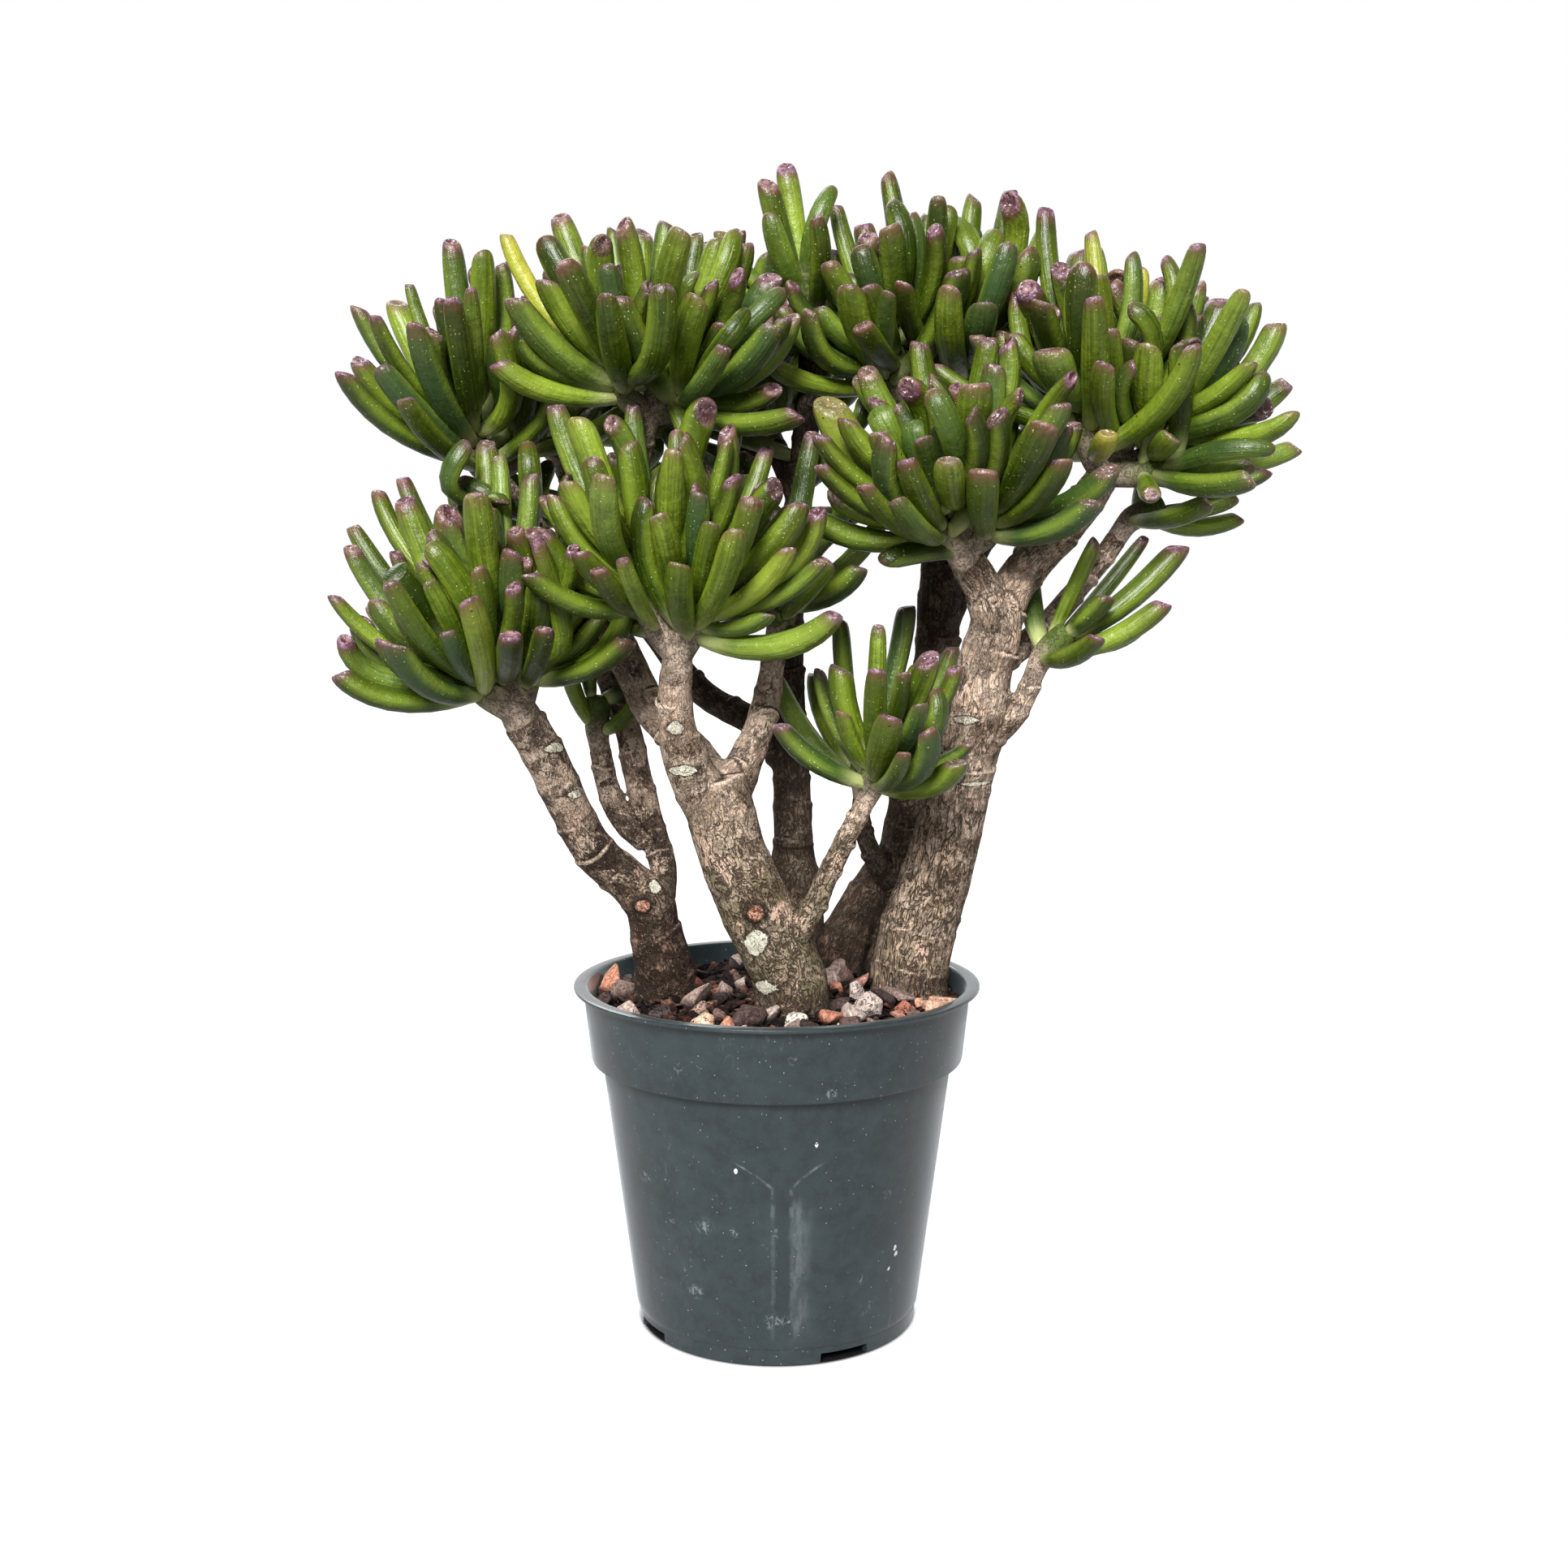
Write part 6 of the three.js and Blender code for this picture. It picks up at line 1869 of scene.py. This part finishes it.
def spray_tree():
    """Bends a copy of the leaf along each leaf's own curve, and adds the shoots below them."""
    make = Growth("Leafy spray", [
        ("Leaf", "Object", None), ("Shoots", "Object", None), ("Girth", "Float", 1.0),
        ("Flatness", "Float", 0.88), ("Slant", "Float", 0.62), ("Unevenness", "Float", 0.08),
        ("Leaf material", "Material", None), ("Shoot material", "Material", None),
    ])
    given = make.inputs

    def shape_of(name):
        return make.add("GeometryNodeObjectInfo", {}, {"Object": given[name]}, "Geometry")

    placed = make.add("GeometryNodeInstanceOnPoints", {}, {
        "Points": given["Geometry"], "Instance": shape_of("Leaf"),
    })
    real = make.add("GeometryNodeRealizeInstances", {}, {0: placed})
    section, root, bend, tip, across = (
        make.read(name, True) for name in ("section", "root", "bend", "tip", "across")
    )
    x, y, t = (section.part(axis) for axis in "XYZ")
    u = 1 - t
    middle = root * (u * u) + bend * (u * t * 2) + tip * (t * t)
    along = ((bend - root) * u + (tip - bend) * t).unit()
    inward = across.cross(along)
    swell = make.noise(root * 300 + section * (0.45, 0.45, 2.2), 1.0, 2, 0.55) - 0.5
    flare = 1 + make.read("flare") * t.ramp(0.45, 1.0)
    size = make.read("girth") * given["Girth"] * flare * (1 + given["Unevenness"] * swell * 3)
    thick = y * size * given["Flatness"]
    slide = thick * given["Slant"] * (0 - t.ramp(0.80, 0.97)) * make.read("cut")
    place = middle + across * (x * size) + inward * thick + along * slide
    moved = make.add("GeometryNodeSetPosition", {}, {"Geometry": real, "Position": place})
    leaves = make.coat(moved, given["Leaf material"])
    shoots = make.coat(tubes_of(make, shape_of("Shoots"), 12), given["Shoot material"])
    return make.finish(make.add("GeometryNodeJoinGeometry", {}, {0: [shoots, leaves]}))


def leaf_finish(settings):
    """Waxy green, paler at the root, flushed mauve at the dished tip, with fine pale freckles."""
    make = Finish("waxy_leaf")
    place = make.place()
    section, tint, dish = make.read("section", True), make.read("tint", True), make.read("dish")
    x, y, t = (section.part(axis) for axis in "XYZ")
    hue, blush, age = (tint.part(axis) for axis in "XYZ")
    patch = make.noise(place, 48, 3, 0.6)
    streak = make.noise(section * (2.4, 2.4, 0.6) + place * 9, 1.7, 3, 0.6)
    mottle = make.noise(place, 330, 4, 0.65)
    light = hue + (patch - 0.5) * 0.8 + (streak - 0.5) * 0.9 + (mottle - 0.5) * 0.35 + y * 0.10
    # painted highlight: a lighter strip along the keels of the leaf, for their lit, translucent
    # edges
    keel_highlight = x.absolute().ramp(0.72, 1.06) * t.ramp(0.1, 0.4)
    # freckles and a few dark pits
    chosen = make.cells(place, 600, "Color").part("X").ramp(0.52, 0.62)
    freckles = (1 - make.cells(place, 600).ramp(0.08, 0.24)) * chosen
    freckles = freckles * t.ramp(0.10, 0.40) * patch.ramp(0.36, 0.54)
    few = make.cells(place, 120, "Color").part("Y").ramp(0.74, 0.78)
    pits = (1 - make.cells(place, 120).ramp(0.040, 0.070)) * few
    green = make.paint(
        settings.deep_green,
        (light.ramp(0.02, 0.50), settings.green),
        (light.ramp(0.48, 1.15), settings.fresh_green),
        (make.read("cool") * 0.7, settings.cool_green),
        (age, make.blend(patch.ramp(0.30, 0.70), (0.30, 0.30, 0.03), settings.yellow)),
        ((1 - t.ramp(0.03, 0.26)) * 0.9, settings.root_green),
        (keel_highlight * 0.45, settings.fresh_green),
        (t.ramp(0.50, 0.95) * blush * 0.40, (0.044, 0.040, 0.008)),
        (freckles * 0.50, (0.66, 0.72, 0.38)),
        (pits * 0.85, (0.03, 0.022, 0.012)),
    )
    # a brown flush below the tip, its mauve rim, its dish, and pale scabs, partly real scabs and
    # partly painted glints
    ragged = t + (mottle - 0.5) * 0.07 + (patch - 0.5) * 0.09
    flush = ragged.ramp(0.885, 0.985) * (0.10 + blush * 0.80)
    rim = (dish + (mottle - 0.5) * 0.45).ramp(0.22, 0.50) * (0.25 + blush * 0.75)
    rosy = make.paint(
        settings.tip_red,
        (mottle.ramp(0.46, 0.62), (0.25, 0.135, 0.190)),
        (patch.ramp(0.50, 0.58) * 0.6, (0.20, 0.115, 0.055)),
    )
    cup = make.blend(mottle.ramp(0.45, 0.60), (0.070, 0.024, 0.034), (0.27, 0.15, 0.16))
    scab_and_glint = make.noise(place, 760, 3, 0.7).ramp(0.60, 0.66) * dish.ramp(0.25, 0.7)
    shown = make.paint(
        green,
        (flush * 0.85, (0.120, 0.042, 0.034)),
        (rim, rosy),
        (dish.ramp(0.86, 1.0) * (0.25 + blush * 0.65), cup),
        (scab_and_glint * 0.85, (0.78, 0.70, 0.72)),
    )
    height = mottle * 0.75 + freckles * 0.25 - pits * 0.8 + make.noise(place, 150, 2, 0.5) * 0.9
    return make.close(
        Base_Color=shown, Roughness=0.23 + mottle * 0.16 + scab_and_glint * 0.3,
        Normal=make.bump(height + streak * 0.8, 0.0008, 0.8), IOR=1.36, Coat_Weight=0.10,
        Coat_Roughness=0.13,
    )


def shoot_finish(stem_settings, leaf_settings):
    """The young wood in a spray's heart, brown below and green between its leaves."""
    make = Finish("young_shoot")
    place = make.place()
    patch = make.noise(place, 150, 4, 0.65)
    net = 1 - (make.noise(place, 430, 2, 0.55, 0.9) - 0.5).absolute().ramp(0.006, 0.050)
    bark = stem_settings.bark_light
    tone = make.paint(
        scaled(bark, 0.42),
        (patch.ramp(0.40, 0.60), scaled(bark, 0.85)),
        ((1 - patch.ramp(0.36, 0.46)) * 0.6, stem_settings.bark_green),
        ((make.read("fresh") + (patch - 0.5) * 0.5).ramp(0.40, 0.95), leaf_settings.green),
        (net * 0.65, stem_settings.bark_dark),
    )
    bump = make.bump(patch * 0.5 - net * 0.5, 0.0006)
    return make.close(Base_Color=tone, Roughness=0.6 + patch * 0.2, Normal=bump)


class JADE_OT_sprays(bpy.types.Operator):
    """Grows the leafy sprays: short shoots from the end of each limb, crowded with leaves"""

    bl_idname = "jade.sprays"
    bl_label = "Leafy sprays"

    def execute(self, context):
        settings = context.scene.jade_leaves
        outer = settle_leaves(grow_leaves())
        outer = [leaf for leaf in outer if within(leaf["tip"]) or "number" in leaf]
        leaves = settle_leaves(outer + inner_leaves(), fixed=len(outer))
        tree, cage = spray_tree(), leaf_cage()
        finish, wood = leaf_finish(settings), shoot_finish(context.scene.jade_stems, settings)
        for name, spray in SPRAYS.items():
            own = [leaf for leaf in leaves if leaf["spray"] == name]
            piece = new_object("leaves_" + name, self.seats(own, spray))
            shoots = new_object("shoots_" + name, self.shoot_paths(spray))
            tree.grow(piece, {
                "Leaf": cage, "Shoots": shoots, "Girth": settings.girth,
                "Flatness": settings.flatness, "Slant": settings.slant,
                "Unevenness": settings.unevenness, "Leaf material": finish,
                "Shoot material": wood,
            })
            bpy.data.objects.remove(shoots)
            rounder = piece.modifiers.new("rounder", "SUBSURF")
            rounder.levels = rounder.render_levels = 1
            settle_piece(piece, "leaf", "spray_" + name)
        bpy.data.objects.remove(cage)
        return {"FINISHED"}

    def seats(self, leaves, spray):
        """One point for each leaf, with the leaf's curve, size and tint."""
        random = seeded(spray["seed"] + 900)
        kept = []
        for leaf in leaves:
            root, bend, tip = leaf["root"], leaf["control"], leaf["tip"]
            hue = 0.13 + 0.75 * next(random) ** 1.25 + spray["tint"]
            blush = 0.20 + 0.80 * next(random)
            # inner leaves and sprouts, deep in the sprays, are painted darker: painted shade
            usual = (hue - 0.10 if "inner" in leaf else hue, blush, 0.0)
            row = {
                "root": root * MM, "bend": bend * MM, "tip": tip * MM,
                "across": unit(np.cross(bend - root, tip - root)),
                "tint": spray["marked"].get(leaf.get("number"), usual),
                "cool": max(0.0, 1.6 * next(random) - 0.9),
                "flare": -0.18 + 0.34 * next(random),
                "cut": 0.35 + 0.9 * next(random),
            }
            plumpness = 0.88 + 0.26 * next(random)
            row["girth"] = leaf["radius"] * MM * (1.0 if "number" in leaf else plumpness)
            kept.append(row)
        mesh = new_mesh("seats", [tuple(row["root"]) for row in kept])
        for key in kept[0]:
            store(mesh, key, [row[key] for row in kept])
        return mesh

    def shoot_paths(self, spray):
        """The shoots of a spray: from its limb's end they fork, thicken and carry the leaves."""
        before, end = np.array(PLANTS[spray["plant"]][spray["limb"]][-2:])
        onward = unit(end[:3] - before[:3])
        paths, fresh = [], []
        for row in spray["shoots"]:
            shoot = shoot_of(row)
            places, radii, run = smooth_path([
                [*(end[:3] - onward * 3), end[3] * 0.97],
                [*(end[:3] + onward * FORK_RISE), max(SHOOT_RADIUS, end[3] * 0.9)],
                [*shoot["base"], (SHOOT_RADIUS + HEART_RADIUS) / 2],
                [*(shoot["base"] + shoot["axis"] * (shoot["length"] + 2)), HEART_RADIUS * 0.85],
            ], 3.0)
            paths.append((places, radii))
            fresh += list(np.clip(run / max(run[-1], 1.0) * 1.3, 0, 1))
        mesh = path_mesh("shoots", paths)
        store(mesh, "fresh", fresh)
        return mesh


# ---- stage ----

SENSOR_WIDTH = 36
FARTHEST_SEEN = 60
FLOOR_LEVEL = -0.0004  # a little below the pot's foot
BACK_SHARE = 0.20  # the light from behind over the one from the front


class JADE_OT_stage(bpy.types.Operator):
    """Sets up the pale floor, the soft light and the camera"""

    bl_idname = "jade.stage"
    bl_label = "Stage"

    def execute(self, context):
        settings = context.scene.jade_stage
        self.lay_floor(settings)
        self.light(context.scene, settings)
        camera = bpy.data.objects.new("camera", bpy.data.cameras.new("camera"))
        context.scene.collection.objects.link(camera)
        camera.location = settings.camera_place
        camera.rotation_euler = (settings.camera_pitch, 0, 0)
        camera.data.sensor_width = SENSOR_WIDTH
        camera.data.lens = settings.lens
        camera.data.clip_end = FARTHEST_SEEN
        camera.data.dof.use_dof = False
        context.scene.camera = camera
        context.scene.view_settings.view_transform = "Standard"
        context.scene.view_settings.look = "None"
        return {"FINISHED"}

    def lay_floor(self, settings):
        half, low = settings.floor_size / 2, FLOOR_LEVEL
        corners = [(-half, -half, low), (half, -half, low), (half, half, low), (-half, half, low)]
        floor = new_object("floor", new_mesh("floor", corners, faces=[(0, 1, 2, 3)]))
        make = Finish("pale_floor")
        cloud = make.noise(make.place(), 3.0, 2, 0.5)
        tone = settings.floor_tone
        shown = make.blend(cloud, (tone, tone, tone), (tone * 0.99, tone * 0.99, tone * 0.995))
        # the floor glows so that shadows on it stay faint, but not under the pot's foot, where it
        # is painted nearly black as a painted shadow
        away = make.place().distance((0.0, 0.0, 0.0)).ramp(0.0572, 0.0600)
        shown = make.blend(away, (0.01, 0.01, 0.01), shown)
        seen = make.light_path("Camera").higher(make.light_path("Glossy") * 0.35).higher(0.25)
        glow = make.blend(away * seen, (0.0, 0.0, 0.0), (1.0, 1.0, 1.0))
        shade(floor, make.close(
            Base_Color=shown, Roughness=0.8, Specular_IOR_Level=0.05, Emission_Color=glow,
            Emission_Strength=settings.floor_glow,
        ))

    def light(self, scene, settings):
        """A white surround, one wide light above the front and a weak one from high behind."""
        world = bpy.data.worlds.new("studio")
        world.use_nodes = True
        scene.world = world
        make = Graph(world.node_tree)
        world.node_tree.nodes.clear()
        way = make.add("ShaderNodeTexCoord", {}, {}, "Generated")
        x, y, z = (way.part(axis) for axis in "XYZ")
        dim = settings.surround * (0.55 + 0.10 * (1 - y.ramp(-0.6, 0.9)) + 0.40 * z.ramp(-0.4, 0.8))
        # what shines back: a pale backdrop, a dark room and a soft box above the camera
        backdrop = y.ramp(0.30, 0.85) * 0.95
        box = x.ramp(-0.60, -0.35) * (1 - x.ramp(0.15, 0.40))
        box = box * z.ramp(0.42, 0.55) * (1 - z.ramp(0.80, 0.92))
        shine = 0.02 + backdrop + 5.0 * box * (1 - y.ramp(-0.30, -0.10)) + 0.3 * z.ramp(0.80, 0.98)
        diffuse, glossy = make.light_path("Diffuse"), make.light_path("Glossy")
        strength = dim * diffuse + shine * glossy * (1 - diffuse) + 1 - diffuse.higher(glossy)
        sky = make.add("ShaderNodeBackground", {}, {"Color": (1, 1, 1), "Strength": strength})
        make.add("ShaderNodeOutputWorld", {}, {"Surface": sky})
        lights = {
            "key": (settings.key, 22, (55, 0, -11)),
            "back_fill": (settings.key * BACK_SHARE, 40, (-48, 0, 25)),
        }
        for name, (energy, wide, turn) in lights.items():
            lamp = bpy.data.lights.new(name, "SUN")
            lamp.energy = energy
            lamp.angle = math.radians(wide)
            sun = bpy.data.objects.new(name, lamp)
            sun.rotation_euler = [math.radians(angle) for angle in turn]
            scene.collection.objects.link(sun)


# ---- panel and run ----

OPERATORS = (
    JADE_OT_pot, JADE_OT_soil, JADE_OT_grit, JADE_OT_stones, JADE_OT_stems, JADE_OT_sprays,
    JADE_OT_stage,
)


class JADE_PT_panel(bpy.types.Panel):
    """Lists the pieces of the plant and the sizes that they are made with"""

    bl_idname = "JADE_PT_panel"
    bl_label = "Trumpet jade"
    bl_space_type = "VIEW_3D"
    bl_region_type = "UI"
    bl_category = "Jade"

    def draw(self, context):
        for operator in OPERATORS:
            self.layout.operator(operator.bl_idname)
        for name, group in SETTINGS.items():
            box = self.layout.box()
            box.label(text=group.__doc__)
            for key in group.__annotations__:
                box.prop(getattr(context.scene, name), key)


def register():
    for group in SETTINGS.values():
        bpy.utils.register_class(group)
    for name, group in SETTINGS.items():
        setattr(bpy.types.Scene, name, bpy.props.PointerProperty(type=group))
    for kind in (*OPERATORS, JADE_PT_panel):
        bpy.utils.register_class(kind)


def unregister():
    for kind in (JADE_PT_panel, *reversed(OPERATORS)):
        bpy.utils.unregister_class(kind)
    for name in SETTINGS:
        delattr(bpy.types.Scene, name)
    for group in SETTINGS.values():
        bpy.utils.unregister_class(group)


def main():
    register()
    for operator in OPERATORS:
        family, action = operator.bl_idname.split(".")
        getattr(getattr(bpy.ops, family), action)()


if __name__ == "__main__":
    main()
